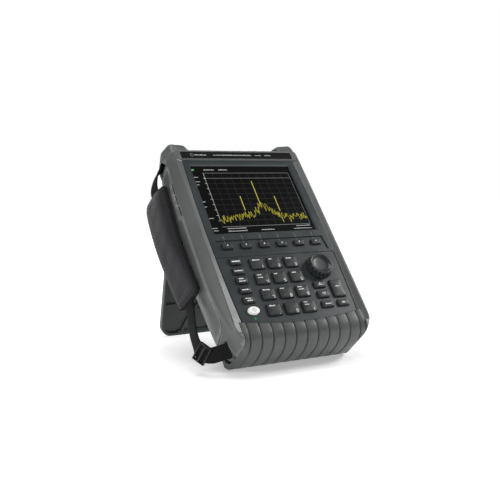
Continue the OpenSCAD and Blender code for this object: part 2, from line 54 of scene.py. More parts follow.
# ---- frame of the case
# Pieces are drawn upright in millimetres (x right, y into the case, z up the face,
# zero at the middle of the screen) and put in place by M.
MM = 0.001
LEAN = radians(41.6)
SL, CL = sin(LEAN), cos(LEAN)
FOOT_Y, FOOT_Z = 60.25, -190.6 + 5.25 * math.tan(LEAN)  # where the bumper stands
OY, OZ = FOOT_Y * CL + FOOT_Z * SL, -FOOT_Y * SL + FOOT_Z * CL
M = Matrix(((MM, 0, 0, 0),
            (0, MM * CL, MM * SL, -MM * OY),
            (0, -MM * SL, MM * CL, -MM * OZ),
            (0, 0, 0, 1)))


def clamp(v, a, b):
    return max(a, min(b, v))


def lerp(a, b, t):
    return a + (b - a) * t


def smooth(t):
    t = clamp(t, 0.0, 1.0)
    return t * t * (3 - 2 * t)


def table(x, rows, k=1):
    if x <= rows[0][0]:
        return rows[0][k]
    for a, b in zip(rows, rows[1:]):
        if x <= b[0]:
            return lerp(a[k], b[k], (x - a[0]) / (b[0] - a[0]))
    return rows[-1][k]


def catmull(pts, n):
    """A smooth curve through pts, n points a span."""
    out, m = [], len(pts)
    for i in range(m - 1):
        p = [pts[clamp(i + k, 0, m - 1)] for k in (-1, 0, 1, 2)]
        for j in range(n):
            t = j / n
            out.append(tuple(0.5 * (2 * b + (c - a) * t + (2 * a - 5 * b + 4 * c - d) * t * t
                                    + (3 * b - a - 3 * c + d) * t ** 3) for a, b, c, d in zip(*p)))
    out.append(tuple(pts[-1]))
    return out


def resample(pts, n, closed=True):
    q = list(pts) + ([pts[0]] if closed else [])
    acc = [0.0]
    for a, b in zip(q, q[1:]):
        acc.append(acc[-1] + math.dist(a, b))
    out, k = [], 0
    for i in range(n):
        s = acc[-1] * i / (n if closed else n - 1)
        while k < len(q) - 2 and acc[k + 1] < s:
            k += 1
        t = (s - acc[k]) / max(1e-9, acc[k + 1] - acc[k])
        out.append(tuple(lerp(a, b, clamp(t, 0, 1)) for a, b in zip(q[k], q[k + 1])))
    return out


def turn(n):
    """n angles round a full turn."""
    return [i * math.tau / n for i in range(n)]


def circle(x, z, r, n):
    return [(x + r * cos(a), z + r * sin(a)) for a in turn(n)]


# ---- mesh helpers
def place_in_scene(name, data):
    ob = bpy.data.objects.new(name, data)
    bpy.context.scene.collection.objects.link(ob)
    return ob


def make(name, verts, faces, mat=None, place=True, smooth_angle=35, body=None):
    me = bpy.data.meshes.new(name)
    me.from_pydata([tuple(v) for v in verts], [], faces)
    bm = bmesh.new()
    bm.from_mesh(me)
    bmesh.ops.remove_doubles(bm, verts=bm.verts, dist=1e-4)
    bmesh.ops.recalc_face_normals(bm, faces=bm.faces)
    bm.to_mesh(me)
    bm.free()
    if place:
        me.transform(M)
    ob = place_in_scene(name, me)
    if mat:
        me.materials.append(MAT[mat])
    shade(ob, smooth_angle)
    if body:
        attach(ob, body)
    return ob


def shade(ob, angle=35):
    me = ob.data
    if angle <= 0:
        for p in me.polygons:
            p.use_smooth = False
        return
    for p in me.polygons:
        p.use_smooth = True
    bm = bmesh.new()
    bm.from_mesh(me)
    lim = radians(angle)
    for e in bm.edges:
        e.smooth = len(e.link_faces) == 2 and e.calc_face_angle(0.0) < lim
    bm.to_mesh(me)
    bm.free()


def discard(ob):
    me = ob.data
    bpy.data.objects.remove(ob)
    bpy.data.meshes.remove(me)


def boolean(ob, cutter, op="DIFFERENCE"):
    """Apply a cut to ob; the cutter is used up."""
    m = ob.modifiers.new("b", "BOOLEAN")
    m.operation, m.solver, m.object = op, "EXACT", cutter
    bpy.context.view_layer.update()
    dg = bpy.context.evaluated_depsgraph_get()
    me, old = bpy.data.meshes.new_from_object(ob.evaluated_get(dg)), ob.data
    ob.modifiers.clear()
    ob.data = me
    bpy.data.meshes.remove(old)
    discard(cutter)


def bevel(ob, width, angle=32):
    m = ob.modifiers.new("bev", "BEVEL")
    m.width, m.segments = width * MM, 2
    m.limit_method, m.angle_limit = "ANGLE", radians(angle)
    m.miter_outer = "MITER_ARC"


def dress(ob, mat):
    ob.data.materials.clear()
    ob.data.materials.append(MAT[mat])


def grid(rows, close_v=False, cap=False):
    """Vertices and faces of closed rows of equal length; close_v joins the last row to the first."""
    n, m = len(rows[0]), len(rows)
    verts = [p for r in rows for p in r]
    faces = []
    for j in range(m if close_v else m - 1):
        a, b = j * n, ((j + 1) % m) * n
        for i in range(n):
            k = (i + 1) % n
            faces.append((a + i, a + k, b + k, b + i))
    if cap:
        faces.append(tuple(range(n)))
        faces.append(tuple((m - 1) * n + i for i in range(n - 1, -1, -1)))
    return verts, faces


def loft(name, rows, mat=None, angle=35, body=None, cap=True, close_v=False):
    v, f = grid(rows, close_v=close_v, cap=cap)
    return make(name, v, f, mat, smooth_angle=angle, body=body)


def rrect(w, h, r, n=6):
    """Rounded rectangle round zero as (x, z), counter-clockwise."""
    r = min(r, w / 2 - 1e-3, h / 2 - 1e-3)
    out = []
    for cx, cz, a0 in ((w / 2 - r, h / 2 - r, 0), (-w / 2 + r, h / 2 - r, 90),
                       (-w / 2 + r, -h / 2 + r, 180), (w / 2 - r, -h / 2 + r, 270)):
        for i in range(n + 1):
            a = radians(a0 + 90 * i / n)
            out.append((cx + r * cos(a), cz + r * sin(a)))
    return out


def prism(name, poly, a, b, axis="y"):
    """A closed prism of poly from a to b. poly is (x, z) along y and (y, z) along x."""
    f = (lambda p, t: (p[0], t, p[1])) if axis == "y" else (lambda p, t: (t, p[0], p[1]))
    return loft(name, [[f(p, a) for p in poly], [f(p, b) for p in poly]], angle=0)


def x_prism(name, poly, x0, x1):
    return prism(name, poly, x0, x1, axis="x")


def inset_poly(poly, d):
    """A closed polygon moved in by d along its normals, whichever way it runs."""
    area = sum(a[0] * b[1] - b[0] * a[1] for a, b in zip(poly, poly[1:] + poly[:1]))
    s = 1 if area > 0 else -1
    out, n = [], len(poly)
    for i in range(n):
        a, b, c = Vector(poly[i - 1]), Vector(poly[i]), Vector(poly[(i + 1) % n])
        e, f = (b - a).normalized(), (c - b).normalized()
        na, nb = Vector((-e.y, e.x)) * s, Vector((-f.y, f.x)) * s
        k = (na + nb)
        k = k / max(0.3, k.length_squared / 2) if k.length > 1e-6 else na
        out.append((b.x + k.x * d, b.y + k.y * d))
    return out


# ---- materials
def srgb(rgb):
    return tuple(c / 255 / 12.92 if c / 255 <= 0.04045 else ((c / 255 + 0.055) / 1.055) ** 2.4 for c in rgb)


class Mat:
    """A Principled material built from procedural nodes."""

    def __init__(self, name, rough=0.5, metal=0.0, spec=0.5):
        self.m = bpy.data.materials.new(name)
        self.m.use_nodes = True
        self.t = self.m.node_tree
        self.b = self.t.nodes["Principled BSDF"]
        self.put(self.b, {"Roughness": rough, "Metallic": metal, "Specular IOR Level": spec})
        self.co = self.new("TexCoord").outputs["Object"]

    def put(self, node, values):
        """Set inputs, each to a number, to a colour or to another node's output."""
        for k, v in values.items():
            if isinstance(v, (int, float)):
                node.inputs[k].default_value = v
            elif isinstance(v, tuple):
                node.inputs[k].default_value = (*v, 1)
            else:
                self.t.links.new(v, node.inputs[k])
        return node

    def new(self, kind, values=None, **props):
        n = self.t.nodes.new("ShaderNode" + kind)
        for k, v in props.items():
            setattr(n, k, v)
        return self.put(n, values or {})

    def noise(self, scale, detail):
        return self.new("TexNoise", {"Scale": scale, "Detail": detail, "Roughness": 0.55,
                                     "Vector": self.co}).outputs["Fac"]

    def wave(self, scale, bands, distortion=0.0):
        return self.new("TexWave", {"Scale": scale, "Distortion": distortion, "Vector": self.co},
                        bands_direction=bands).outputs["Fac"]

    def ramp(self, fac, *stops):
        """A grey ramp of fac through (position, value) stops."""
        r = self.new("ValToRGB", {"Fac": fac})
        el = r.color_ramp.elements
        while len(el) < len(stops):
            el.new(0.5)
        for e, (p, c) in zip(el, stops):
            e.position = p
            e.color = (c, c, c, 1)
        return r.outputs["Color"]

    def math(self, op, a, b):
        return self.new("Math", {0: a, 1: b}, operation=op).outputs[0]

    def mix(self, fac, a, b):
        return self.new("Mix", {0: fac, 6: a, 7: b}, data_type="RGBA").outputs[2]

    def bump(self, height, strength, dist, base=None):
        n = self.new("Bump", {"Strength": strength, "Distance": dist, "Height": height})
        if base:
            self.put(n, {"Normal": base})
        self.put(self.b, {"Normal": n.outputs["Normal"]})
        return n.outputs["Normal"]

    def color(self, c):
        self.put(self.b, {"Base Color": c})


def moulded(name, dark, light, grain, bump, rough, edge=None):
    """Moulded plastic or rubber: fine pebble texture, slow colour drift, and lighter edges, partly rubbed wear and
    partly a painted ridge highlight.
    """
    k, light = Mat(name), srgb(light)
    base = k.mix(k.ramp(k.noise(18, 2), (0.3, 0), (0.7, 1)), srgb(dark), light)
    base = k.mix(k.ramp(k.noise(grain, 2), (0.35, 0), (0.75, 0.22)), base, tuple(c * 1.35 for c in light))
    if edge:
        # edge colour on sharp ridges: partly rubbed wear, partly a painted highlight where the ridges catch light
        ridge = k.ramp(k.new("NewGeometry").outputs["Pointiness"], (0.508, 0), (0.55, 1))
        edge_wear_and_highlight = k.math("MULTIPLY", ridge, k.ramp(k.noise(120, 4), (0.35, 0.45), (0.7, 0.9)))
        base = k.mix(edge_wear_and_highlight, base, srgb(edge))
    k.color(base)
    k.put(k.b, {"Roughness": k.ramp(k.noise(60, 3), (0.3, rough[0]), (0.75, rough[1]))})
    cells = k.new("TexVoronoi", {"Scale": grain * 1.1, "Vector": k.co}).outputs["Distance"]
    k.bump(k.noise(260, 3), bump * 0.35, 0.00015, k.bump(cells, bump, 0.00012))
    return k.m


def plain(name, rgb, rough=0.5, metal=0.0, emit=None, strength=1.0, spec=0.5, gain=1.0):
    k = Mat(name, rough, metal, spec)
    c = [x * gain for x in srgb(rgb)]
    k.color(k.mix(k.ramp(k.noise(400, 3), (0.3, 0), (0.75, 1)), tuple(x * 0.9 for x in c), tuple(x * 1.1 for x in c)))
    if emit:
        k.put(k.b, {"Emission Color": emit, "Emission Strength": strength})
    return k.m


# the last colour of housing, rear and flap is the edge colour: rubbed wear and a painted ridge highlight
MAT = {
    "housing": moulded("housing_plastic", (74, 77, 76), (86, 89, 87), 1000, 0.22, (0.34, 0.46), (132, 135, 133)),
    "rear": moulded("housing_rear_plastic", (72, 75, 74), (84, 87, 85), 1000, 0.25, (0.38, 0.5), (112, 115, 113)),
    "bumper": moulded("bumper_rubber", (68, 71, 70), (80, 83, 81), 850, 0.3, (0.4, 0.52)),
    "panel": moulded("panel_plastic", (40, 46, 48), (50, 56, 58), 1500, 0.12, (0.3, 0.4)),
    "key": moulded("key_rubber", (22, 25, 26), (31, 34, 35), 1600, 0.15, (0.42, 0.54)),
    "knob": moulded("knob_rubber", (26, 29, 30), (38, 41, 42), 1400, 0.15, (0.36, 0.48)),
    "flap": moulded("flap_plastic", (98, 101, 99), (110, 113, 111), 1000, 0.22, (0.38, 0.5), (150, 153, 151)),
    "stand": moulded("stand_plastic", (30, 36, 36), (40, 46, 45), 900, 0.2, (0.4, 0.52)),
    "buckle": moulded("buckle_plastic", (12, 12, 13), (20, 20, 21), 1200, 0.15, (0.34, 0.46)),
    "glass": plain("screen_glass", (9, 10, 9), 0.42, spec=0.06),
    "strip": plain("name_strip_plastic", (13, 13, 15), 0.5, spec=0.12),
    "white": plain("key_white_plastic", (246, 246, 243), 0.38),
    "mark": plain("key_print_white", (222, 224, 222), 0.55),
    "mark_dim": plain("panel_print_grey", (150, 154, 152), 0.55),
    "glyph": plain("power_print_grey", (120, 122, 122), 0.5),
    "led": plain("led_green", (30, 110, 50), 0.3, emit=(0.03, 0.35, 0.08), strength=0.35),
    "dark": plain("shadow_gap_black", (12, 12, 13), 0.8),
    "steel": plain("pin_steel", (170, 170, 172), 0.32, 1.0),
    "nickel": plain("connector_nickel", (196, 194, 188), 0.25, 1.0),
    "gold": plain("connector_gold", (214, 176, 96), 0.28, 1.0),
    "insul": plain("insulator_white", (225, 222, 214), 0.5),
    "board": plain("board_green", (20, 70, 42), 0.45),
    "shield": plain("shield_aluminium", (186, 188, 190), 0.4, 1.0),
    "battery": plain("battery_black", (30, 30, 32), 0.5),
}
# what glows on the screen
for n, rgb, emit, strength in (
        ("grid", (30, 33, 32), (0.075, 0.08, 0.078), 0.6), ("frame", (120, 124, 122), (0.26, 0.27, 0.265), 0.8),
        ("axis", (190, 192, 190), (0.45, 0.46, 0.45), 0.8), ("text", (150, 152, 150), (0.4, 0.41, 0.405), 0.85),
        ("green", (60, 200, 90), (0.16, 0.34, 0.2), 0.7), ("yellow", (216, 206, 60), (0.62, 0.56, 0.05), 0.62),
        ("peak", (220, 210, 90), (0.72, 0.66, 0.12), 0.7)):
    MAT["scr_" + n] = plain("screen_" + n, rgb, 0.6, emit=emit, strength=strength, spec=0.1, gain=0.25)

# ---- the case outline, as in the CAD
# SIDE: (z, half width). ROWS: depth y, widest x, how far the side, top and bottom draw in.
SIDE = [(-196, 60), (-195, 66), (-192, 72.5), (-187, 78.5), (-180, 83.6), (-171, 87), (-160, 88.8),
        (-147, 90.2), (-128, 91.8), (-110, 93), (-93, 94), (-61, 94.5), (-30, 94.7), (0, 94.2), (18, 93.5),
        (34, 92.5), (51, 91.1), (66, 89.8), (72, 88), (75, 85), (76, 81)]
ROWS = [(-2, 83.3, 1.6, 4.4, 4), (-0.5, 85, 1.2, 2.4, 2.2), (2, 87.6, 0.8, 1, 1), (5.5, 90.8, 0.3, 0.2, 0.3),
        (9, 93.2, 0, 0, 0), (13, 94.5, 0, 0, 0), (28, 99, 0, 0, 0), (36, 99, 0.8, 0.4, 0.3),
        (43, 99, 2.6, 1.6, 1.2), (52, 99, 6.8, 5, 4.2), (58, 99, 11.8, 9.5, 9.4), (62, 99, 17.5, 15, 17)]
LOW_Z, TOP_Z, BACK_Y = -196.0, 76.0, 62.0
ZC, HALF_H = -60.0, 136.0  # middle and half of the height
ARC_R, ARC_Z = 447.0, 276.0  # of the bumper's upper edge
HALF = resample([(x, LOW_Z) for x in (0, 10, 20, 30, 40, 50, 57)]
                + catmull([(x, z) for z, x in SIDE], 8)[4:-2]
                + [(x, TOP_Z) for x in (76, 70, 60, 50, 40, 30, 20, 10, 0)], 150, closed=False)
ROWS_F = catmull(ROWS, 4)


def pw(v):
    """Half width of the front opening at height v."""
    return 76.7 - 1.4 * (v / 100) - 2.6 * (v / 100) ** 2


def smin(a, b, k=1.6):
    h = clamp(0.5 + 0.5 * (b - a) / k, 0, 1)
    return b * (1 - h) + a * h - k * h * (1 - h)


def smax(a, b, k):
    return -smin(-a, -b, k)


def row_at(y):
    return tuple(table(y, ROWS_F, k) for k in range(5))


def half_ring(y, d=0.0):
    """Right half of the outline at depth y, moved in by d, bottom to top."""
    _, cx, si, ti, bi = row_at(y)
    out = []
    for x, z in HALF:
        t, b = ti + d, bi + d
        zz = ZC + (z - ZC) * (1 - (t if z > ZC else b) / HALF_H)
        edge = smooth(x / 50.0)
        xx = x - si * edge if x < cx + 8 else x - si
        out.append((min(smin(xx, cx), xx if xx < cx - 4 else 1e9) - d * edge, y, zz))
    return out


def full(half):
    return list(half) + [(-x, y, z) for x, y, z in reversed(half[1:-1])]


def arc(x):
    """Height of the bumper's upper edge."""
    return ARC_Z - sqrt(ARC_R ** 2 - x * x)


def loft_solid(name, y0, y1, d=0.0, step=1.2):
    """The case outline between two depths, moved in by d, as a solid."""
    n = max(2, int((y1 - y0) / step))
    return loft(name, [full(half_ring(lerp(y0, y1, i / n), d)) for i in range(n + 1)])


def inner_half(y, fx, top, bot):
    """A loop for the front opening that runs with HALF: sides at fx(z), top and bottom flat."""
    out = []
    z0, z1 = -192.0, 72.0
    for x, z in HALF:
        zz = bot + (top - bot) * clamp((z - z0) / (z1 - z0), 0, 1)
        if z0 + 1e-6 < z < z1 - 1e-6:
            xx = fx(zz)
        else:
            edge, zz = (74.5, bot) if z < 0 else (88.0, top)
            xx = clamp(x / edge, 0, 1) * fx(zz)
        out.append((xx, y, zz))
    return out


def mixed(a, b, w):
    return [tuple(lerp(p, q, w) for p, q in zip(s, t)) for s, t in zip(a, b)]


def toward(a, b, mm, most):
    """Ring a moved mm toward ring b, at most that share of the way."""
    out = []
    for s, t in zip(a, b):
        w = min(most, mm / max(math.dist(s, t), 1e-6))
        out.append(tuple(lerp(p, q, w) for p, q in zip(s, t)))
    return out


def front_rings():
    rings = [half_ring(30.05, 0.45), half_ring(29.9, 0.12), half_ring(29.6)]
    rings += [half_ring(29.6 - i * 1.4) for i in range(1, 15)]
    y = 8.6
    while y > -1.6:
        rings.append(half_ring(y))
        y -= 0.72
    a = half_ring(-2.0)
    b = [(x, -2.0 if z > 58.0 else -2.12, z) for x, _, z in inner_half(-2.12, lambda z: 82.5, 58.7, -178.0)]
    c = inner_half(0.4, lambda z: pw(z) + 0.5, 57.5, -177.5)
    rings += [mixed(half_ring(-1.7), a, 0.5), a, toward(a, b, 1.0, 0.35), toward(b, a, 1.0, 0.35), b,
              toward(b, c, 0.7, 0.2), mixed(b, c, 0.45), mixed(b, c, 0.8), c]
    rings += [inner_half(y, lambda z: pw(z) + 0.3, 57.3, -177.5) for y in (0.9, 4.2)]
    rings += [inner_half(y, lambda z: pw(z) - 3.0, 54.0, -174.5) for y in (4.3, 7.2)]
    rings += [half_ring(y, 3.0) for y in (8.0, 14.0, 20.0, 26.0, 30.05)]
    return [full(r) for r in rings]


def round_poly(poly, r):
    """Corners of a polygon rounded by r."""
    out, m = [], len(poly)
    for i in range(m):
        a, b, c = Vector(poly[i - 1]), Vector(poly[i]), Vector(poly[(i + 1) % m])
        u, v = (a - b), (c - b)
        k = min(r, u.length * 0.4, v.length * 0.4)
        p, q = b + u.normalized() * k, b + v.normalized() * k
        for j in range(5):
            t = j / 4
            w = p * (1 - t) ** 2 + b * 2 * t * (1 - t) + q * t * t
            out.append((w.x, w.y))
    return out


# outlines on the sides, as (y, z)
COVER = [(10, 57), (10, -150), (11.5, -156), (16, -161.5), (24, -165), (36, -166.5), (46, -166.5), (50, -162),
         (50, 52), (46, 57)]
FLAP_Z = [(13.9, 29.7), (-1.1, 12.5), (-17.1, -3.7)]
FLAP_Y = 16.5
DOOR = [(12, -33), (12, -150), (16, -156), (24, -159), (44, -159), (48, -156), (48, -33)]
COVER_R = round_poly(COVER, 3)
DOOR_R = round_poly(DOOR, 3)


def flap_poly(i, g=0.0):
    a, b = FLAP_Z[i]
    return [(10 - g, a - g), (FLAP_Y + g, a - g), (FLAP_Y + g, b + g), (10 - g, b + g)]


def floor_at(y):
    return -190.6 + (y - 55) * math.tan(LEAN)


BUMP_OUT = [(-1.2, -168), (-1.6, -174), (-0.8, -180), (1.8, -185.6), (7, -190.4), (14, -193.6), (23, -195.2),
            (33, -195.4), (43, -194), (51, -191.6), (57.5, floor_at(57.5))]
BUMP_IN = [(57.2, -171), (57.2, -176), (55.6, -180.6), (48, -186.6), (40, -188.4), (26, -189), (13, -187.4),
           (6.4, -184), (3.6, -179), (3.6, -173), (3.6, -168)]


def bump_cutter(g):
    """The space of the bumper with a gap g: everything below the arc and outside the core."""
    core = inset_poly(BUMP_IN[1:-1] + [(3.6, -150), (57.2, -150)], g)
    half, front_y, step_z = 76 + g, 3.8 - g, -170.9 + g
    low = x_prism("cut_low", [(-20, -215), (80, -215), (80, step_z), (front_y, step_z), (front_y, -175), (-20, -175)],
                  -half, half)
    boolean(low, x_prism("cut_core", core, -90, 90))
    # the front lip under the arc
    edge = arc(76) + g
    poly = ([(-half, edge)] + [(x, arc(x) + g) for x in range(-76, 77, 4)]
            + [(half, edge), (half, -215), (-half, -215)])
    lip = prism("cut_lip", poly, -20, 4.0)
    boolean(lip, x_prism("cut_core2", core, -90, 90))
    boolean(low, lip, "UNION")
    return low


# the strap's anchor pockets: middle, size, turns in degrees
ANCHORS = (((-87, 28.6, 70.8), (26, 22.5, 6), (0, -37, 0)), ((-98, 28.6, 64), (16, 27, 13), (0, -37, 0)),
           ((-84, 27.5, -181), (22, 23, 6), (-51.5, 0, -24)), ((-96, 33.5, -180), (18, 27, 14), (-51.5, 0, -24)))
LEFT, RIGHT = (-115, -84), (84, 115)


# ---- case shells
def wall_cutters():
    """Cutters shared by both shells, each a fresh object."""
    out = [bump_cutter(0.3),
           x_prism("cut_cover", inset_poly(COVER_R, -0.35), *LEFT),
           x_prism("cut_door", inset_poly(DOOR_R, -0.35), *RIGHT),
           prism("cut_top", rrect(132, 34, 3), -1, 1)]
    pocket = out[-1].data  # stood up to open the top face
    pocket.transform(M.inverted())
    for v in pocket.vertices:
        x, y, z = v.co
        v.co = (x, 27 + z, 89.5 + y * 16)
    pocket.transform(M)
    for c, s, r in ANCHORS:
        v, f = grid([[(a * s[0] / 2, b * s[1] / 2, k * s[2] / 2) for a, b in rrect(2, 2, 0.2, 2)]
                     for k in (-1, 1)], cap=True)
        o = make("cut_anchor", v, f, place=False, smooth_angle=0)
        rx, ry, rz = (Matrix.Rotation(radians(q), 4, axis) for q, axis in zip(r, "XYZ"))
        o.data.transform(M @ Matrix.Translation(c) @ rz @ ry @ rx)
        out.append(o)
    return out


front = loft("front_case", front_rings(), "housing", cap=False, close_v=True)
for c in wall_cutters():
    boolean(front, c)
boolean(front, prism("cut_plate", [(x, z + 64.4) for x, z in rrect(151.2, 10.9, 1.6)], -3.0, -1.15))
shade(front, 38)
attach(front, "case")
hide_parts("front_housing")


def rear_rings():
    rings = [half_ring(30.15, 0.45), half_ring(30.3, 0.12), half_ring(30.6)]
    y = 32.0
    while y < 61.2:
        rings.append(half_ring(y))
        y += 0.9
    e = half_ring(BACK_Y)
    rings += [half_ring(61.6), half_ring(61.9, 0.35), [(x * 0.985, BACK_Y, z * 0.985 - 0.8) for x, _, z in e]]
    rings += [[(x * k, y, ZC + (z - ZC) * k) for x, _, z in e] for k, y in
              ((0.5, BACK_Y), (0.02, BACK_Y), (0.02, 59.0))]
    rings += [half_ring(y, 3.0) for y in (59.0, 54.0, 48.0, 42.0, 36.0, 30.15)]
    return [full(r) for r in rings]


rear = loft("rear_case", rear_rings(), "rear", cap=False, close_v=True)
for c in wall_cutters():
    boolean(rear, c)
for x in (-64, 64):
    for z in (48, -156):
        boolean(rear, prism("cut_screw", circle(x, z, 3.6, 32), 57.6, 70))
shade(rear, 38)
# hinge brackets of the stand
HINGE_Y, HINGE_Z = 66.8, 18
for s in (-1, 1):
    for x in (22, 62):
        prof = [(60.5, HINGE_Z + 10), (60.5, HINGE_Z - 10)]
        prof += [(HINGE_Y + 4 * cos(a), HINGE_Z + 4 * sin(a)) for a in
                 [radians(-120 + 240 * i / 14) for i in range(15)]]
        b = x_prism("bracket_%s%d" % ("l" if s < 0 else "r", x), prof, s * x - 3, s * x + 3)
        dress(b, "rear")
        bevel(b, 0.5)
        shade(b, 40)
        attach(b, "case")
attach(rear, "case")
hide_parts("rear_housing")


GUARD_BALLS = ((63, 1.5, 70, 3.2), (83, 3, 69, 4), (67, 6, 81.5, 5), (80, 7, 81, 7), (60, 26, 87, 5),
               (79, 24, 87, 8), (60, 44, 83, 5), (77, 44, 82, 8), (87, 20, 69, 7), (85, 34, 62, 6))
DOTS, GOLDEN_ANGLE = 700, 2.399963


def guard(s):
    """Corner guard of the top on side s: a smooth hull of spheres."""
    bm = bmesh.new()
    for x, y, z, r in GUARD_BALLS:
        for i in range(DOTS):
            c = 1 - 2 * (i + 0.5) / DOTS
            q, a = sqrt(1 - c * c), i * GOLDEN_ANGLE
            bm.verts.new((s * x + r * q * cos(a), y + 1 + r * q * sin(a), z + r * c))
    bmesh.ops.convex_hull(bm, input=bm.verts)
    bmesh.ops.delete(bm, geom=[v for v in bm.verts if not v.link_faces], context="VERTS")
    bmesh.ops.recalc_face_normals(bm, faces=bm.faces)
    me = bpy.data.meshes.new("guard")
    bm.to_mesh(me)
    bm.free()
    me.transform(M)
    ob = place_in_scene("corner_guard_" + ("left" if s < 0 else "right"), me)
    bpy.context.view_layer.update()
    for c in wall_cutters():
        if c.name.startswith(("cut_top", "cut_anchor")):
            boolean(ob, c)
        else:
            discard(c)
    dress(ob, "rear")
    shade(ob, 45)
    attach(ob, "case")
    return ob


GUARDS = [guard(s) for s in (-1, 1)]
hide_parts("corner_guards")


# ---- covers and flaps on the sides
def side_panel(name, poly, side, d, mat, body, replaces, holes=(), proud=0.45):
    """A plate cut from the case wall, d inside it to proud outside it."""
    ob = loft_solid(name, 6, 56, -proud, 1.0)
    boolean(ob, x_prism("keep", poly, *side), "INTERSECT")
    boolean(ob, loft_solid("core", 4, 58, d, 2.0))
    for h in holes:
        boolean(ob, x_prism("hole", h, *side))
    dress(ob, mat)
    bevel(ob, 0.35, 50)
    shade(ob, 40)
    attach(ob, body)
    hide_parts(replaces)


# the flaps' holes are wider at the hinge
HOLES = [round_poly([(y + (0.45 if y > FLAP_Y else 0), z) for y, z in flap_poly(i, 0.35)], 0.8) for i in range(3)]
side_panel("side_cover_panel", COVER_R, LEFT, 2.4, "housing", "case", "side_cover", HOLES)
for i in range(3):
    n = "port_flap_%d" % (i + 1)
    side_panel(n + "_cap", round_poly(flap_poly(i), 0.8), LEFT, 1.9, "flap", n, n, proud=0.2)
side_panel("battery_door_panel", DOOR_R, RIGHT, 2.0, "housing", "battery_door", "battery_door")


# ---- ribbed bumper
PITCH, RIB = 13.7, 6.85
RIB_STEPS = (0.3, 0.6, 0.85, 1.15, 1.6, 2.3, 3.6, 5.4)
BUMP_CUT = [(x, z) for x, z in HALF if z < -100]


def floor_of(x):
    """Lowest z the case outline leaves at half width x."""
    lo = BUMP_CUT[0]
    for q in BUMP_CUT[1:]:
        if q[0] >= x >= lo[0]:
            return lerp(lo[1], q[1], (x - lo[0]) / max(1e-6, q[0] - lo[0]))
        lo = q
    return lo[1]


def bumper():
    f1, f2 = BUMP_OUT[-1], (63.0, floor_at(63.0))
    outer = catmull(BUMP_OUT, 5) + [(lerp(f1[0], f2[0], t), lerp(f1[1], f2[1], t)) for t in (0.3, 0.6, 0.85, 1.0)]
    outer += [(63.5, -182.4), (63.6, -180.5), (63.5, -176), (63.4, -173), (63.4, -171)]
    inner = [(57.2, -171)] + BUMP_IN[1:-1] + [(3.6, -168)]
    prof = [Vector(p) for p in outer]
    nrm = []
    for i in range(len(prof)):
        t = (prof[min(i + 1, len(prof) - 1)] - prof[max(i - 1, 0)]).normalized()
        nrm.append(Vector((t.y, -t.x)))
    if nrm[10].y > 0:
        nrm = [-n for n in nrm]
    xs = {s * x for x in (76, 75.7, 75.2, 74.4) for s in (-1, 1)}
    for g in range(-6, 7):
        for dx in (-RIB, *(-q for q in RIB_STEPS), 0, *RIB_STEPS):
            x = g * PITCH + dx
            if -75.9 < x < 75.9:
                xs.add(round(x, 3))
    rows = []
    for x in sorted(xs):
        k = round(x / PITCH)
        dx = abs(x - k * PITCH)
        groove = 1.45 * (1 - smooth((dx - 0.45) / 0.9)) if abs(k) <= 5 else 0.0
        u = clamp(dx / RIB, 0, 1) if abs(k) <= 5 else 1.0
        pillow = 0.9 * (1 - sqrt(max(0.0, 1 - (1 - u) ** 2.4)))
        end = 1.5 * (1 - sqrt(max(0.0, 1 - (1 - clamp((76 - abs(x)) / 1.8, 0, 1)) ** 2)))
        ring, low = [], floor_of(abs(x))
        for (y, z), n in zip([(p.x, p.y) for p in prof], nrm):
            face = smooth((y - 54.2) / 1.6) if z < -178 else 1.0 if y > 40 else 0.0
            d = groove * (1 - face) + pillow * (1 - face) + end
            if abs(z + 168) < 6.5 and y < 2:
                t = (z + 173) / 5.0
                z = lerp(z, arc(x) + 0.1 + (z + 168), clamp(t, 0, 1)) if t > 0 else z
            yy, zz = y - n.x * d, z - n.y * d
            ring.append((x, yy, smax(zz, low, 1.4) if zz < -170 else zz))
        for y, z in inner:
            if z == -168:
                z = arc(x) + 0.1
            elif z == -173:
                z = min(-173, arc(x) - 3)
            ring.append((x, y, max(z, low + 2.0) if z < -175 else z))
        rows.append(ring)
    ob = loft("ribbed_bumper", rows, "bumper", 50, "case")
    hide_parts("bottom_bumper")


bumper()


# ---- keys and small flat print
KEY_TOP = -2.8


def key_cap(n, x, z, w, h, r=2, y0=3.4, y1=KEY_TOP, edge=1.1, crown=0.35):
    """A key from y0 out to y1: rounded rectangle, soft shoulder, slightly crowned top."""
    taper = 0.5
    steps = [(0.0, y0), (0.0, lerp(y0, y1, 0.5)), (taper * 0.6, lerp(y0, y1, 0.72))]
    for i in range(6):
        a = radians(90 * i / 5)
        steps.append((taper + edge * (1 - cos(a)), y1 + edge * 0.8 * (1 - sin(a)) + crown))
    for t in (0.25, 0.5, 0.75):
        steps.append((taper + edge + t * min(w, h) * 0.4, y1 + crown * (1 - sin(t * math.pi / 2))))
    o = loft(n + "_cap", [[(x + a, y, z + b) for a, b in rrect(w - 2 * d, h - 2 * d, max(0.4, r - d * 0.6), 5)]
                          for d, y in steps], "key", 60, n)
    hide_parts(n)


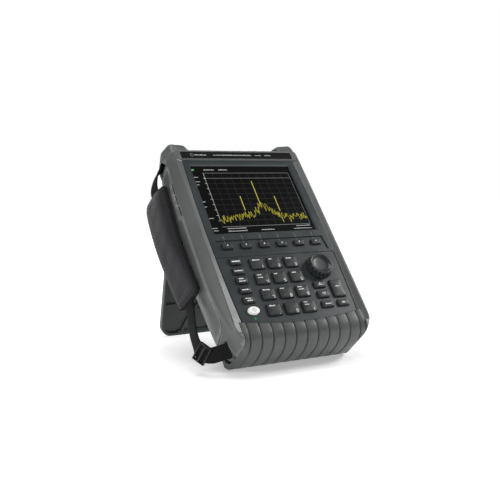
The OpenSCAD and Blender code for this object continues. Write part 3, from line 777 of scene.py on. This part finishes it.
class Bits:
    """Many small flat pieces gathered into one mesh, t thick with their faces at y."""

    def __init__(self, y, t=0.06):
        self.v, self.f, self.y, self.t = [], [], y, t

    def strip(self, pts, w):
        """A line through (x, z) points, w wide."""
        for a, b in zip(pts, pts[1:]):
            d = Vector((b[0] - a[0], b[1] - a[1]))
            if d.length < 1e-6:
                continue
            d.normalize()
            n = Vector((-d.y, d.x)) * (w / 2)
            e = d * (w * 0.2)
            self.poly([(a[0] - e.x + n.x, a[1] - e.y + n.y), (a[0] - e.x - n.x, a[1] - e.y - n.y),
                       (b[0] + e.x - n.x, b[1] + e.y - n.y), (b[0] + e.x + n.x, b[1] + e.y + n.y)])

    def poly(self, q):
        k, n = len(self.v), len(q)
        self.v += [(x, y, z) for y in (self.y, self.y + self.t) for x, z in q]
        self.f.append(tuple(range(k, k + n)))
        self.f.append(tuple(range(k + 2 * n - 1, k + n - 1, -1)))
        for i in range(n):
            j = (i + 1) % n
            self.f.append((k + i, k + n + i, k + n + j, k + j))

    def dashes(self, x, z, w, h, seed):
        """A line of print that reads as a word at a distance but has no letters: short uneven bars."""
        rnd = random.Random(seed)
        p, low = x - w / 2, z - h / 2
        while p < x + w / 2 - 0.2:
            k = min(rnd.uniform(0.55, 1.5) * h, x + w / 2 - p)
            top = low + h * rnd.choice((0.72, 0.85, 1.0))
            self.poly([(p, low), (p + k, low), (p + k, top), (p, top)])
            p += k + h * 0.22

    def done(self, name, mat, body="case"):
        me = bpy.data.meshes.new(name)
        me.from_pydata([M @ Vector(p) for p in self.v], [], self.f)
        me.materials.append(MAT[mat])
        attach(place_in_scene(name, me), body)


SEG = {"0": "abcdef", "1": "bc", "2": "abged", "3": "abgcd", "4": "fgbc", "5": "afgcd", "6": "afgecd",
       "7": "abc", "8": "abcdefg", "9": "abcdfg"}


def digit(bits, ch, x, z, h, w):
    """A digit h tall in strokes w wide, centred on x, z; "." is the point and "s" the sign."""
    a, b = h * 0.27, h / 2
    k = {"a": [(-a, b), (a, b)], "b": [(a, b), (a, 0)], "c": [(a, 0), (a, -b)], "d": [(-a, -b), (a, -b)],
         "e": [(-a, 0), (-a, -b)], "f": [(-a, b), (-a, 0)], "g": [(-a, 0), (a, 0)]}
    if ch == ".":
        bits.poly([(x - 0.35, z - b), (x + 0.35, z - b), (x + 0.35, z - b + 0.7), (x - 0.35, z - b + 0.7)])
        return
    strokes = [[(-0.9, 0.7), (0.5, 0.7)], [(-0.2, 1.4), (-0.2, 0)], [(-0.9, -1.2), (0.5, -1.2)]]
    for q in strokes if ch == "s" else [k[c] for c in SEG[ch]]:
        bits.strip([(x + p[0], z + p[1]) for p in q], w)


# ---- keys
NUM_X, NUM_Z = (-30.6, -9, 12.6), (-95, -114.6, -134.3, -154)
FUN_X, FUN_Z = -55.8, (-90.4, -102.7, -114.9, -127, -139.3)
PRINT_Y = KEY_TOP - 0.05
# print on the keys: (x, z, width, height) from the key's middle
labels = {"function_key_1": [(0, -0.2, 9.5, 2.4)], "function_key_2": [(-0.5, -0.4, 9.8, 1.5)],
          "function_key_3": [(-1.2, 1.5, 6, 1.3), (-0.6, -1.4, 7.6, 1.4)], "function_key_4": [(-0.8, -0.3, 8, 1.5)],
          "function_key_5": [(-1, 1.2, 7, 1.3), (0.2, -1.6, 6.4, 1.4)]}
for i, z in enumerate(FUN_Z):
    n = "function_key_%d" % (i + 1)
    key_cap(n, FUN_X, z, 14, 8.6)
    b = Bits(PRINT_Y)
    for j, (dx, dz, w, h) in enumerate(labels[n]):
        b.dashes(FUN_X + dx, z + dz, w, h, "f%d%d" % (i, j))
    b.done(n + "_print", "mark", n)

ORDER = ["key_" + k for k in ("1", "2", "3", "4", "5", "6", "7", "8", "9", "point", "0", "sign")]
WORDS = [[(-0.6, 4.2, 9, 1.5)], [(-4.2, 4.2, 3.4, 1.5)], [(-2.2, 4, 7, 1.5)],
         [(-3.4, 4.3, 5.4, 1.3), (-2.8, 1, 6.6, 1.3)], [(-4.4, 4.2, 3.6, 1.5)], [(-2.8, 4.2, 5.4, 1.3)],
         [(-1.6, 4.6, 8.4, 1.4)], [(-4, 4.6, 5, 1.2)], [(-2.8, 4.7, 5.4, 1.3), (-2, 1.6, 6.6, 1.3)],
         [(-2, 4.2, 6.8, 1.5)], [], [(-3.6, 4.7, 4.4, 1.2), (-3, 1.6, 5.4, 1.2)]]
GLYPH = "123456789.0s"
for i, n in enumerate(ORDER):
    x, z = NUM_X[i % 3], NUM_Z[i // 3]
    key_cap(n, x, z, 16.6, 14.6)
    b = Bits(PRINT_Y)
    for j, (dx, dz, w, h) in enumerate(WORDS[i]):
        b.dashes(x + dx, z + dz, w, h, "n%d%d" % (i, j))
    digit(b, GLYPH[i], x + 4.2, z - 4.7, 3.3, 0.6)
    b.done(n + "_print", "mark", n)

for n, x, z, w, h in (("arrow_up", 36.8, -128, 15, 9), ("arrow_down", 36.6, -141, 15, 9),
                      ("enter", 57.8, -134.9, 15.5, 22.6), ("back", 36.8, -153.8, 15, 8.6),
                      ("mark", 57.4, -153.8, 15, 8.6)):
    key_cap(n + "_key", x, z, w, h)
    b = Bits(PRINT_Y)
    if "arrow" in n:
        s = 1 if "up" in n else -1
        t = [(x + 0.4, z + 1.6 * s), (x - 1.9, z - 1.4 * s), (x + 2.7, z - 1.4 * s)]
        b.strip(t + [t[0]], 0.55)
    else:
        dz, long = {"enter": (2, 5.2), "back": (-0.3, 6.6), "mark": (-0.3, 4.6)}[n]
        b.dashes(x, z + dz, long, 1.5, n)
    b.done(n + "_key_print", "mark", n + "_key")

SOFT_X = [(i - 2.5) * 23 for i in range(6)]
for i, x in enumerate(SOFT_X):
    n = "softkey_%d" % (i + 1)
    key_cap(n, x, -68.9, 13, 7.6, 1.4, 4.2, -1.6, edge=0.9, crown=0.2)
    b = Bits(-1.66)
    b.poly([(x + p, -68.3 + q) for p, q in rrect(1.3, 1.7, 0.4, 3)])
    b.done(n + "_print", "mark", n)

# power key: crowned oval with a ring and bar
PX, PZ = -54.8, -152.6
o = loft("power_key_cap", [[(PX + (6.8 - d) * cos(a), y, PZ + (6.8 - d) * 0.71 * sin(a)) for a in turn(48)]
                           for d, y in ((0, 3), (0, -1.0), (0.15, -1.6), (0.5, -2.15), (1.1, -2.55), (2.0, -2.78),
                                        (3.6, -2.88), (5.2, -2.9))], "white", 60, "power_key")
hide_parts("power_key")
b = Bits(-2.95)
b.strip([(PX + 1.75 * sin(a), -152.8 + 1.75 * cos(a)) for a in
         [radians(35 + 290 * i / 20) for i in range(21)]], 0.42)
b.strip([(PX, -150.6), (PX, PZ)], 0.42)
b.done("power_key_print", "glyph", "power_key")

# ---- knob
KX, KZ, KR = 46.0, -105.0, 15.0
FLUTES = 18
prof = catmull([(KR - 0.2, -0.6), (KR, -0.9), (KR, -1.7), (KR - 0.15, -4), (KR - 0.6, -6.6), (KR - 0.9, -7.9),
                (KR - 1.3, -8.7), (KR - 2.0, -9.1), (KR - 2.8, -9.1), (KR - 3.5, -8.8), (KR - 4.6, -8.0),
                (KR - 6, -7.2), (KR - 8.5, -6.75), (KR - 12, -6.6), (0.6, -6.55)], 3)
rows = []
for r, y in prof:
    ring = []
    for a in turn(216):
        fl = (0.5 + 0.5 * cos(a * FLUTES)) ** 5
        k = 1.25 * fl * smooth((-y - 1.3) / 0.8) * (1 - smooth((-y - 8.2) / 0.9)) if r > KR - 2.2 else 0
        ring.append((KX + (r - k) * cos(a), y, KZ + (r - k) * sin(a)))
    rows.append(ring)
o = loft("knob_cap", rows, "knob", 50, "knob")
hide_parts("knob")
loft("knob_shadow_gap", [[(x, -0.12, z) for x, z in circle(KX, KZ, r, 64)] for r in (15.9, 12)],
     "dark", 0, "case", cap=False)

# ---- panels: painted shadow in the seams, and leader marks
# dark strips painted as the shadow in the seam gaps and along the bumper's upper edge; the strip on the right side is
# drawn wider
b = Bits(-0.12, 0.2)
b.strip([(-pw(-83.3) + 0.4, -83.35), (pw(-83.3) - 0.4, -83.35)], 1.0)
b.y = -0.1
for s, w in ((-1, 0.7), (1, 1.5)):
    b.strip([(s * (pw(z) - 0.15), z) for z in range(-84, -165, -4)], w)
b.strip([(x, arc(x) + 0.5) for x in range(-74, 75, 4)], 0.9)
b.done("panel_seams", "dark")
b = Bits(-0.06)
for x in SOFT_X:
    b.y = -0.06
    b.strip([(x - 1.4, -54.6), (x - 0.9, -60.0)], 0.3)
    b.y = 1.1
    b.strip([(x - 0.9, -60.4), (x - 0.2, -64.0)], 0.3)
b.done("panel_leaders", "mark_dim")

# ---- what the screen shows, each layer a little nearer than the last
SCREEN_Y = 1.95
U0, U1, V1, V0 = -53.3, 62.6, 38.8, -40.4
TOP = V1 + 0.6
MID = V1 - 7.6


def layer(lift):
    return Bits(SCREEN_Y - lift, 0.04)


rnd = random.Random(7)
b = layer(0)
for i in range(11):
    u = lerp(U0, U1, i / 10)
    b.strip([(u, V0), (u, V1)], 0.22)
for i in range(11):
    v = lerp(V0, V1, i / 10)
    b.strip([(U0, v), (U1, v)], 0.22)
b.done("screen_grid", "scr_grid")
b = layer(0.01)
b.strip([(U0, TOP), (U1, TOP)], 0.35)
b.strip([(U0, MID), (U1, MID)], 0.35)
b.strip([(U1, V0), (U1, TOP)], 0.3)
b.strip([(U0, V0 - 0.3), (U1, V0 - 0.3)], 0.45)
b.done("screen_frame", "scr_frame")
b = layer(0.02)
b.strip([(U0, -31.0), (U0, TOP)], 0.45)
for i in range(9):
    v = MID - i * 7.9
    b.strip([(U0 - 2.2, v), (U0 + 0.4, v)], 0.5)
b.y = SCREEN_Y - 0.03
b.poly(circle(U0, MID, 0.9, 10))
b.done("screen_axis", "scr_axis")
b = layer(0.01)
for u, v, w, h in ((-44.6, 44.4, 13.5, 1.5), (-26, 44.4, 12, 1.5), (-64, 32.9, 5, 1.3), (-63.8, 26.2, 5.2, 1.1),
                   (-64.8, 21.5, 3.4, 1.2), (-65, -3.8, 3.6, 1.6), (-65, -11.3, 2.6, 1.3), (-63.3, -28, 5.6, 1.2),
                   (-63.6, -42.2, 6.6, 1.1), (-62.8, -45.6, 5.6, 1.1), (-36, -43.2, 24, 1.3), (-36, -46.9, 24, 1.3),
                   (3, -46.7, 17, 1.3), (52, -43, 19, 1.2), (50, -46.9, 25, 1.2)):
    b.dashes(u, v, w, h, "t%d%d" % (u, v))
b.done("screen_readouts", "scr_text")
b = layer(0.01)
b.poly([(-65.9 + x, 44.3 + z) for x, z in rrect(4.6, 2.6, 0.5, 3)])
b.done("screen_status", "scr_green")
b = layer(0.04)
pts, n = [], 150
for i in range(n + 1):
    u = lerp(U0 + 1.0, U1 - 0.4, i / n)
    base = -29.0 + 17.5 * math.exp(-((u - 6.5) / 14.0) ** 2) + 3.5 * math.exp(-((u + 20) / 10.0) ** 2)
    v = base + 11.0 * (rnd.random() - 0.5) - (6.0 * rnd.random() if rnd.random() < 0.12 else 0)
    pts.append((u, max(V0 + 0.6, v)))
b.strip(pts, 0.36)
b.done("screen_trace", "scr_yellow")
b = layer(0.05)
for u, v0, v1 in ((-16.7, -18, 3.2), (6.2, -9.5, 26), (29.2, -20, 2.4)):
    b.strip([(u - 0.25, v0), (u, v1)], 0.75)
b.done("screen_peaks", "scr_peak")


# ---- hand strap
k = Mat("pad_fabric", 0.92, spec=0.12)
weave = k.math("MULTIPLY", k.wave(640, "Z"), k.wave(640, "Y"))
tone = k.mix(k.ramp(k.noise(30, 4), (0.3, 0), (0.7, 1)), srgb((25, 24, 28)), srgb((38, 36, 41)))
k.color(k.mix(k.ramp(weave, (0.1, 0), (0.7, 0.35)), tone, srgb((54, 52, 57))))
k.bump(k.math("ADD", k.math("MULTIPLY", weave, 0.7), k.noise(900, 4)), 0.5, 0.0003)
k.put(k.b, {"Sheen Weight": 0.25, "Sheen Roughness": 0.5})
MAT["pad"] = k.m
k = Mat("webbing_weave", 0.7, spec=0.2)
weave = k.wave(360, "DIAGONAL", 0.6)
k.color(k.mix(weave, srgb((5, 5, 6)), srgb((16, 16, 17))))
k.bump(weave, 0.6, 0.0003)
MAT["webbing"] = k.m
k = Mat("binding_tape", 0.75, spec=0.2)
k.color(k.mix(k.ramp(k.noise(700, 3), (0.3, 0), (0.7, 1)), srgb((12, 12, 13)), srgb((24, 24, 25))))
k.bump(k.noise(1100, 2), 0.4, 0.0002)
MAT["binding"] = k.m

TURN = radians(9.5)
PAD_W, PAD_T = 46.0, 7.0
PAD_Z0, PAD_Z1, PAD_INSET, PAD_PUFF = -111.4, 37.4, 1.1, 1.55
CROWN = [(-112, 0), (-100, 0.05), (-80, 0.3), (-60, 0.55), (-40, 0.8), (-20, 0.95), (10, 1), (24, 0.9),
         (33, 0.55), (38, 0.2)]  # height along the pad, share of its crown


def pad_at(a, b, z):
    """Point of the pad: a across it, b out from its inner face."""
    bow = 1 - ((z + 39) / 78) ** 2
    xi = -105 - 3.6 * bow + PAD_T
    return (xi - b * cos(TURN) - a * sin(TURN), 41 + a * cos(TURN) - b * sin(TURN), z)


def pad_end(z):
    """How far z is from the pad's nearer end, and how full the pad is there."""
    e = min(z - PAD_Z0, PAD_Z1 - z)
    return e, 1 - 0.42 * (1 - smooth(e / 5.0))


def pad_rows():
    rows, n, m = [], 72, 26
    for i in range(n + 1):
        t = i / n
        z = lerp(PAD_Z0, PAD_Z1, smooth(t) * 0.35 + t * 0.65)
        e, flat = pad_end(z)
        round_w = 2.6 * (1 - sqrt(max(0.0, 1 - (1 - clamp(e / 6.0, 0, 1)) ** 2)))
        hw = PAD_W / 2 - PAD_INSET - round_w
        t_out = PAD_T + 4.6 * table(z, CROWN) * PAD_PUFF
        across = [-1 + 2 * j / m for j in range(m + 1)]
        ring = []
        for u in across:
            prof = (1 - abs(u) ** 4.2) ** 0.5
            wrinkle = (0.10 * sin(z * 0.9 + u * 2.1) + 0.14 * sin(z * 0.27 + u * 4.0)) * (1 - u * u)
            b = lerp(3.6, t_out - 0.15 + wrinkle, prof) * flat + 1.4 * (1 - flat)
            ring.append(pad_at(u * hw, b, z))
        ring += [pad_at(u * hw * 0.995, 0.35 + 0.9 * (1 - flat) + 1.5 * abs(u) ** 6, z) for u in across[::-1]]
        rows.append(ring)
    return rows


pad = loft("strap_pad_cushion", pad_rows(), "pad", 70, "case")
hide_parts("strap_pad")

# binding tape sewn round the edge, and a seam just inside it
OUTV = Vector((-cos(TURN), -sin(TURN), 0))


def edge_loop(inset, b_of):
    """Points round the pad, inset from its edge, b_of(a, z) out from its inner face."""
    z0, z1 = -111.6 + inset, 37.6 - inset
    loop = [(a, z + (z0 + z1) / 2) for a, z in rrect(PAD_W - 2 * inset, z1 - z0, 5.5, 8)]
    return [pad_at(a, b_of(a, z), z) for a, z in resample(loop, 220)]


def tube(name, pts, wide, high, mat, n):
    """A closed oval tube through pts, high along OUTV and wide across it."""
    rows = []
    for i, p in enumerate(pts):
        t = (Vector(pts[(i + 1) % len(pts)]) - Vector(pts[i - 1])).normalized()
        X = t.cross(OUTV).normalized()
        rows.append([tuple(p[q] + X[q] * wide * cos(a) + OUTV[q] * high * sin(a) for q in range(3))
                     for a in turn(n)])
    return loft(name, rows, mat, 60, "case", cap=False, close_v=True)


bind = tube("strap_pad_binding", edge_loop(1.6, lambda a, z: 2.9), 1.75, 2.5, "binding", 12)


def seam_height(a, z):
    u = a / (PAD_W / 2 - PAD_INSET)
    flat = pad_end(z)[1]
    return lerp(3.6, PAD_T + 7.1 * table(z, CROWN) - 0.15, (max(0, 1 - abs(u) ** 4.2)) ** 0.5) * flat + 1.4 * (1 - flat)


loop = edge_loop(4.6, seam_height)
sv, sf = [], []
for a, b in zip(loop[:-1:2], loop[1::2]):
    a, b = Vector(a), Vector(b)
    d = b - a
    if d.length < 0.2:
        continue
    d.normalize()
    sd, up = d.cross(OUTV).normalized() * 0.22, OUTV * 0.22
    k = len(sv)
    a, b = a + d * 0.25, b - d * 0.25
    sv += [a + sd, a - sd, b - sd, b + sd]
    sv += [a + sd * 0.4 + up, a - sd * 0.4 + up, b - sd * 0.4 + up, b + sd * 0.4 + up]
    sf += [(k, k + 1, k + 2, k + 3), (k + 7, k + 6, k + 5, k + 4)]
    sf += [(k + i, k + 4 + i, k + 4 + (i + 1) % 4, k + (i + 1) % 4) for i in range(4)]
make("strap_pad_stitches", sv, sf, "binding", smooth_angle=0, body="case")

# webbing: points of its middle line, each with the direction across it
WEB_TOP = [(-101.8, 41, 33, -0.165, 0.986, 0), (-102.4, 40, 44, -0.16, 0.98, 0), (-100.4, 36.5, 54, -0.1, 0.98, 0),
           (-95.5, 32, 64, 0, 0.98, 0.1), (-88, 29, 70, 0, 0.99, 0.1), (-80, 28, 75.5, 0, 1, 0)]
WEB_LOW = [(-101.8, 41, -106, -0.165, 0.986, 0), (-103.8, 41, -122, -0.16, 0.98, 0),
           (-107, 41, -138, -0.15, 0.97, -0.15), (-109, 40.5, -152, -0.1, 0.9, -0.4),
           (-108.8, 40.5, -164, 0, 0.75, -0.66),
           (-106, 41, -173.5, 0, 0.66, -0.75), (-99, 37, -179, 0, 0.64, -0.77), (-91, 31, -180.5, 0, 0.62, -0.78),
           (-81, 26, -181, 0, 0.62, -0.78)]
WEB_W, WEB_T = 17, 1.9
HALF_SEC = [(0.97, 0.75), (0.9, 1), (0.3, 1)]
WEB_SEC = ([(-1, 0)] + [(-a, b) for a, b in HALF_SEC] + HALF_SEC[::-1]
           + [(1, 0)] + [(a, -b) for a, b in HALF_SEC] + [(-a, -b) for a, b in HALF_SEC[::-1]])


def web_axes(before, at, after):
    """The directions along, across and through the webbing at a point of its path."""
    T = (Vector(after[:3]) - Vector(before[:3])).normalized()
    W = Vector(at[3:])
    W = (W - W.dot(T) * T).normalized()
    return T, W, T.cross(W)


def web(name, path):
    q = catmull(path, 8)
    rows = []
    for i, p in enumerate(q):
        c = Vector(p[:3])
        _, W, N = web_axes(q[max(i - 1, 0)], p, q[min(i + 1, len(q) - 1)])
        rows.append([tuple(c + W * (a * WEB_W / 2) + N * (b * WEB_T / 2)) for a, b in WEB_SEC])
    return loft(name, rows, "webbing", 50, "case")


wa = web("strap_webbing_top", WEB_TOP)
wb = web("strap_webbing_low", WEB_LOW)
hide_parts("strap_webbing")

# buckle: rounded bars round the lower webbing; x is out of it, y across and z along it
BX, BY, BZ = WEB_LOW[5][:3]
T, W, N = web_axes(*WEB_LOW[4:7])
if N.x > 0:
    N = -N
BM = Matrix(((N.x, W.x, T.x, BX), (N.y, W.y, T.y, BY), (N.z, W.z, T.z, BZ), (0, 0, 0, 1)))


def bar(name, x, y, z):
    r = 0.9
    cy, cz = (y[0] + y[1]) / 2, (z[0] + z[1]) / 2
    w, h = y[1] - y[0], z[1] - z[0]
    o = loft("strap_buckle_" + name, [[tuple(BM @ Vector((lerp(x[0], x[1], t), cy + a, cz + b)))
                                       for a, b in rrect(w - 2 * d, h - 2 * d, r, 4)] for d, t in
                                      ((r, 0), (r * 0.3, 0.12), (0, 0.3), (0, 0.7), (r * 0.3, 0.88), (r, 1))],
             "buckle", 50, "case")
    return o


b1 = bar("bar_top", (-2.6, 2.4), (-10.6, 10.6), (-7.5, -5.4))
bar("bar_mid", (-2.6, 2.9), (-10.6, 10.6), (-1.5, 1.5))
bar("bar_low", (-2.6, 2.4), (-10.6, 10.6), (5.4, 7.5))
bar("side_front", (-2.7, 2.6), (-10.6, -8.7), (-7.5, 7.5))
bar("side_back", (-2.7, 2.6), (8.7, 10.6), (-7.5, 7.5))
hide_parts("strap_buckle")


# ---- connectors on top
def lathe(name, c, prof, mat, n=64):
    return loft(name, [[(x, y, z) for x, y in circle(*c, r, n)] for r, z in prof], mat, 28, "case")


N_Y, SMA_Y = 28, 32
for i, x in enumerate((-36, 36)):
    n = "rf_port_%d_" % (i + 1)
    prof = [(4.2, 82.6), (4.2, 88.9), (7.3, 88.98), (7.6, 88.7)]
    z = 88.4
    while z > 79.6:
        prof += [(7.92, z - 0.1), (7.92, z - 0.32), (7.3, z - 0.55), (7.3, z - 0.72)]
        z -= 1.058
    prof += [(7.3, 79.0), (7.94, 78.9), (7.94, 78.3), (7.94, 78.22), (3.2, 78.2)]
    lathe(n + "barrel", (x, N_Y), prof, "nickel")
    lathe(n + "insulator", (x, N_Y), [(4.1, 82.7), (4.1, 84.4), (1.6, 84.5), (1.6, 82.7)], "insul", 32)
    lathe(n + "contact", (x, N_Y), [(1.5, 82.7), (1.5, 86.3), (1.1, 86.8), (0.6, 86.8), (0.6, 84), (0.2, 84)],
          "gold", 24)
    loft(n + "flange", [[(x + a, N_Y + b, z) for a, b in rrect(19 - 2 * d, 19 - 2 * d, 1.6, 5)] for d, z in
                        ((0, 76.42), (0, 77.8), (0.4, 78.2), (4, 78.22))], "nickel", 30, "case")
    for sx in (-1, 1):
        for sy in (-1, 1):
            lathe(n + "screw_%d%d" % (sx + 1, sy + 1), (x + sx * 7, N_Y + sy * 7),
                  [(1.3, 78.2), (1.3, 78.7), (0.9, 79.0), (0.45, 79.0), (0.45, 78.6), (0.1, 78.6)], "steel", 20)
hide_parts("rf_ports")
for i, x in enumerate((-12, 2, 16)):
    n = "sma_jack_%d_" % (i + 1)
    prof = [(2.1, 81), (2.1, 85.9), (2.9, 85.98)]
    z = 85.6
    while z > 79.8:
        prof += [(3.16, z), (3.16, z - 0.22), (2.85, z - 0.4), (2.85, z - 0.5)]
        z -= 0.706
    prof += [(2.9, 79.4), (2.9, 78.6), (4.3, 78.42), (1.2, 78.4)]
    lathe(n + "barrel", (x, SMA_Y), prof, "gold", 48)
    loft(n + "nut", [[(a, b, z) for a, b in circle(x, SMA_Y, 4.6 - d, 6)] for d, z in
                     ((0.3, 76.42), (0, 76.8), (0, 78.0), (0.35, 78.4))], "gold", 20, "case")
    lathe(n + "insulator", (x, SMA_Y), [(2.05, 81), (2.05, 83.6), (0.7, 83.7), (0.7, 81)], "insul", 32)
    lathe(n + "contact", (x, SMA_Y), [(0.6, 81), (0.6, 84.6), (0.3, 84.8), (0.1, 84.8)], "gold", 16)
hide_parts("sma_jacks")

# generic mark on the dark strip: a ring and lines of short bars, no letters
STRIP_Z = 64.4
b = Bits(-2.3)
b.strip([(-61.5 + 1.9 * cos(a), STRIP_Z + 1.9 * sin(a)) for a in turn(24) + [math.tau]], 0.55)
for x, w, h, seed in ((-50.5, 15, 1.9, "mark"), (-8, 52, 1.7, "line1"), (27.5, 9, 1.5, "line2"),
                      (41, 9, 1.5, "line3")):
    b.dashes(x, STRIP_Z, w, h, seed)
b.done("name_strip_mark", "mark_dim")

# pull slits of the port flaps: dark pieces painted as the shade inside the slits
for i, (a, c) in enumerate(FLAP_Z):
    o = loft_solid("port_flap_%d_slit" % (i + 1), 6, 20, -0.35, 1.0)
    slit = [(9.3, a + 0.5), (10.6, a + 0.5), (10.6, c - 0.5), (9.3, c - 0.5)]
    boolean(o, x_prism("keep", round_poly(slit, 0.5), *LEFT), "INTERSECT")
    boolean(o, loft_solid("core", 4, 22, 1.0, 2.0))
    dress(o, "dark")
    shade(o, 40)
    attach(o, "case")


# ---- finishes of the CAD pieces that stay: material and bevel in mm
KEEP = {
    "screen_bezel": ("panel", 0.35), "keypad_panel": ("panel", 0.35), "name_plate": ("strip", 0.2),
    "screen_window": ("glass", 0.0), "display_module": ("dark", 0.0), "key_board": ("board", 0.0),
    "knob_encoder": ("steel", 0.0), "power_led": ("led", 0.15), "connector_panel": ("key", 0.4),
    "rf_ports": ("nickel", 0.2), "sma_jacks": ("gold", 0.15), "io_jacks": ("nickel", 0.2),
    "battery_pack": ("battery", 0.8), "main_board": ("board", 0.0), "rf_module": ("shield", 0.5),
    "stand": ("stand", 0.6), "stand_pins": ("steel", 0.2), "housing_screws": ("steel", 0.15),
}
for n, o in nodes.items():
    if o.hide_render:
        continue
    m, w = KEEP.get(n, ("key", 0.3))
    dress(o, m)
    if w:
        bevel(o, w, 35)

# ---- camera, floor and light
def aim(ob, at, way):
    """Put a camera or light at a point, looking along way."""
    ob.location = at
    ob.rotation_mode = "QUATERNION"
    ob.rotation_quaternion = way.to_track_quat("-Z", "Y")


cam = place_in_scene("camera", bpy.data.cameras.new("camera"))
aim(cam, (-0.4006, -0.66902, 0.2116), Vector((0.4646, 0.8784, -0.1120)))
cam.data.sensor_width = 36
cam.data.lens = 51.52
cam.data.clip_start, cam.data.clip_end = 0.01, 50
bpy.context.scene.camera = cam

FLOOR_Z = CAD[0][2] - 0.0002
FLOOR_R, FLOOR_RINGS = 4, 24
v, f = grid([[(x, y, FLOOR_Z) for x, y in circle(0, 0.08, FLOOR_R * ((j + 0.02) / FLOOR_RINGS) ** 1.5, 48)]
             for j in range(FLOOR_RINGS + 1)])
floor = make("floor", v, f, place=False, smooth_angle=0)
k = Mat("floor_white", 0.9, spec=0.0)
k.color(k.mix(k.ramp(k.noise(3, 2), (0.3, 0), (0.7, 1)), (0.86,) * 3, (0.88,) * 3))
far = k.new("VectorMath", {0: k.co}, operation="LENGTH").outputs["Value"]
glow = k.ramp(far, (0.05, 0.36), (0.22, 0.6), (0.6, 1.0))
k.put(k.b, {"Emission Color": (1, 1, 1), "Emission Strength": glow})
floor.data.materials.append(k.m)

world = bpy.data.worlds.new("studio")
bpy.context.scene.world = world
world.use_nodes = True
nt = world.node_tree
pick = nt.nodes.new("ShaderNodeMixShader")
nt.links.new(nt.nodes.new("ShaderNodeLightPath").outputs["Is Camera Ray"], pick.inputs[0])
for i, strength in ((1, 0.11), (2, 1.0)):  # as a light, and as seen
    bg = nt.nodes.new("ShaderNodeBackground")
    bg.inputs[0].default_value = (1, 1, 1, 1)
    bg.inputs[1].default_value = strength
    nt.links.new(bg.outputs[0], pick.inputs[i])
nt.links.new(pick.outputs[0], nt.nodes["World Output"].inputs["Surface"])


def area(name, at, to, size, power):
    lamp = bpy.data.lights.new(name, "AREA")
    lamp.size, lamp.energy = size, power
    aim(place_in_scene(name, lamp), at, Vector(to) - Vector(at))


area("top_light", (-0.2, 0.2, 1.5), (0, 0.05, 0.1), 0.7, 9)
area("left_light", (-1.2, -0.45, 0.85), (0, 0.05, 0.1), 0.35, 7)
area("right_sheen", (1.25, -0.24, 0.95), (0.08, 0.05, 0.12), 0.5, 15)
area("back_light", (0.5, 1.5, 0.7), (0, 0.1, 0.1), 0.7, 5)
bpy.context.scene.view_settings.view_transform = "Standard"

bpy.context.view_layer.update()
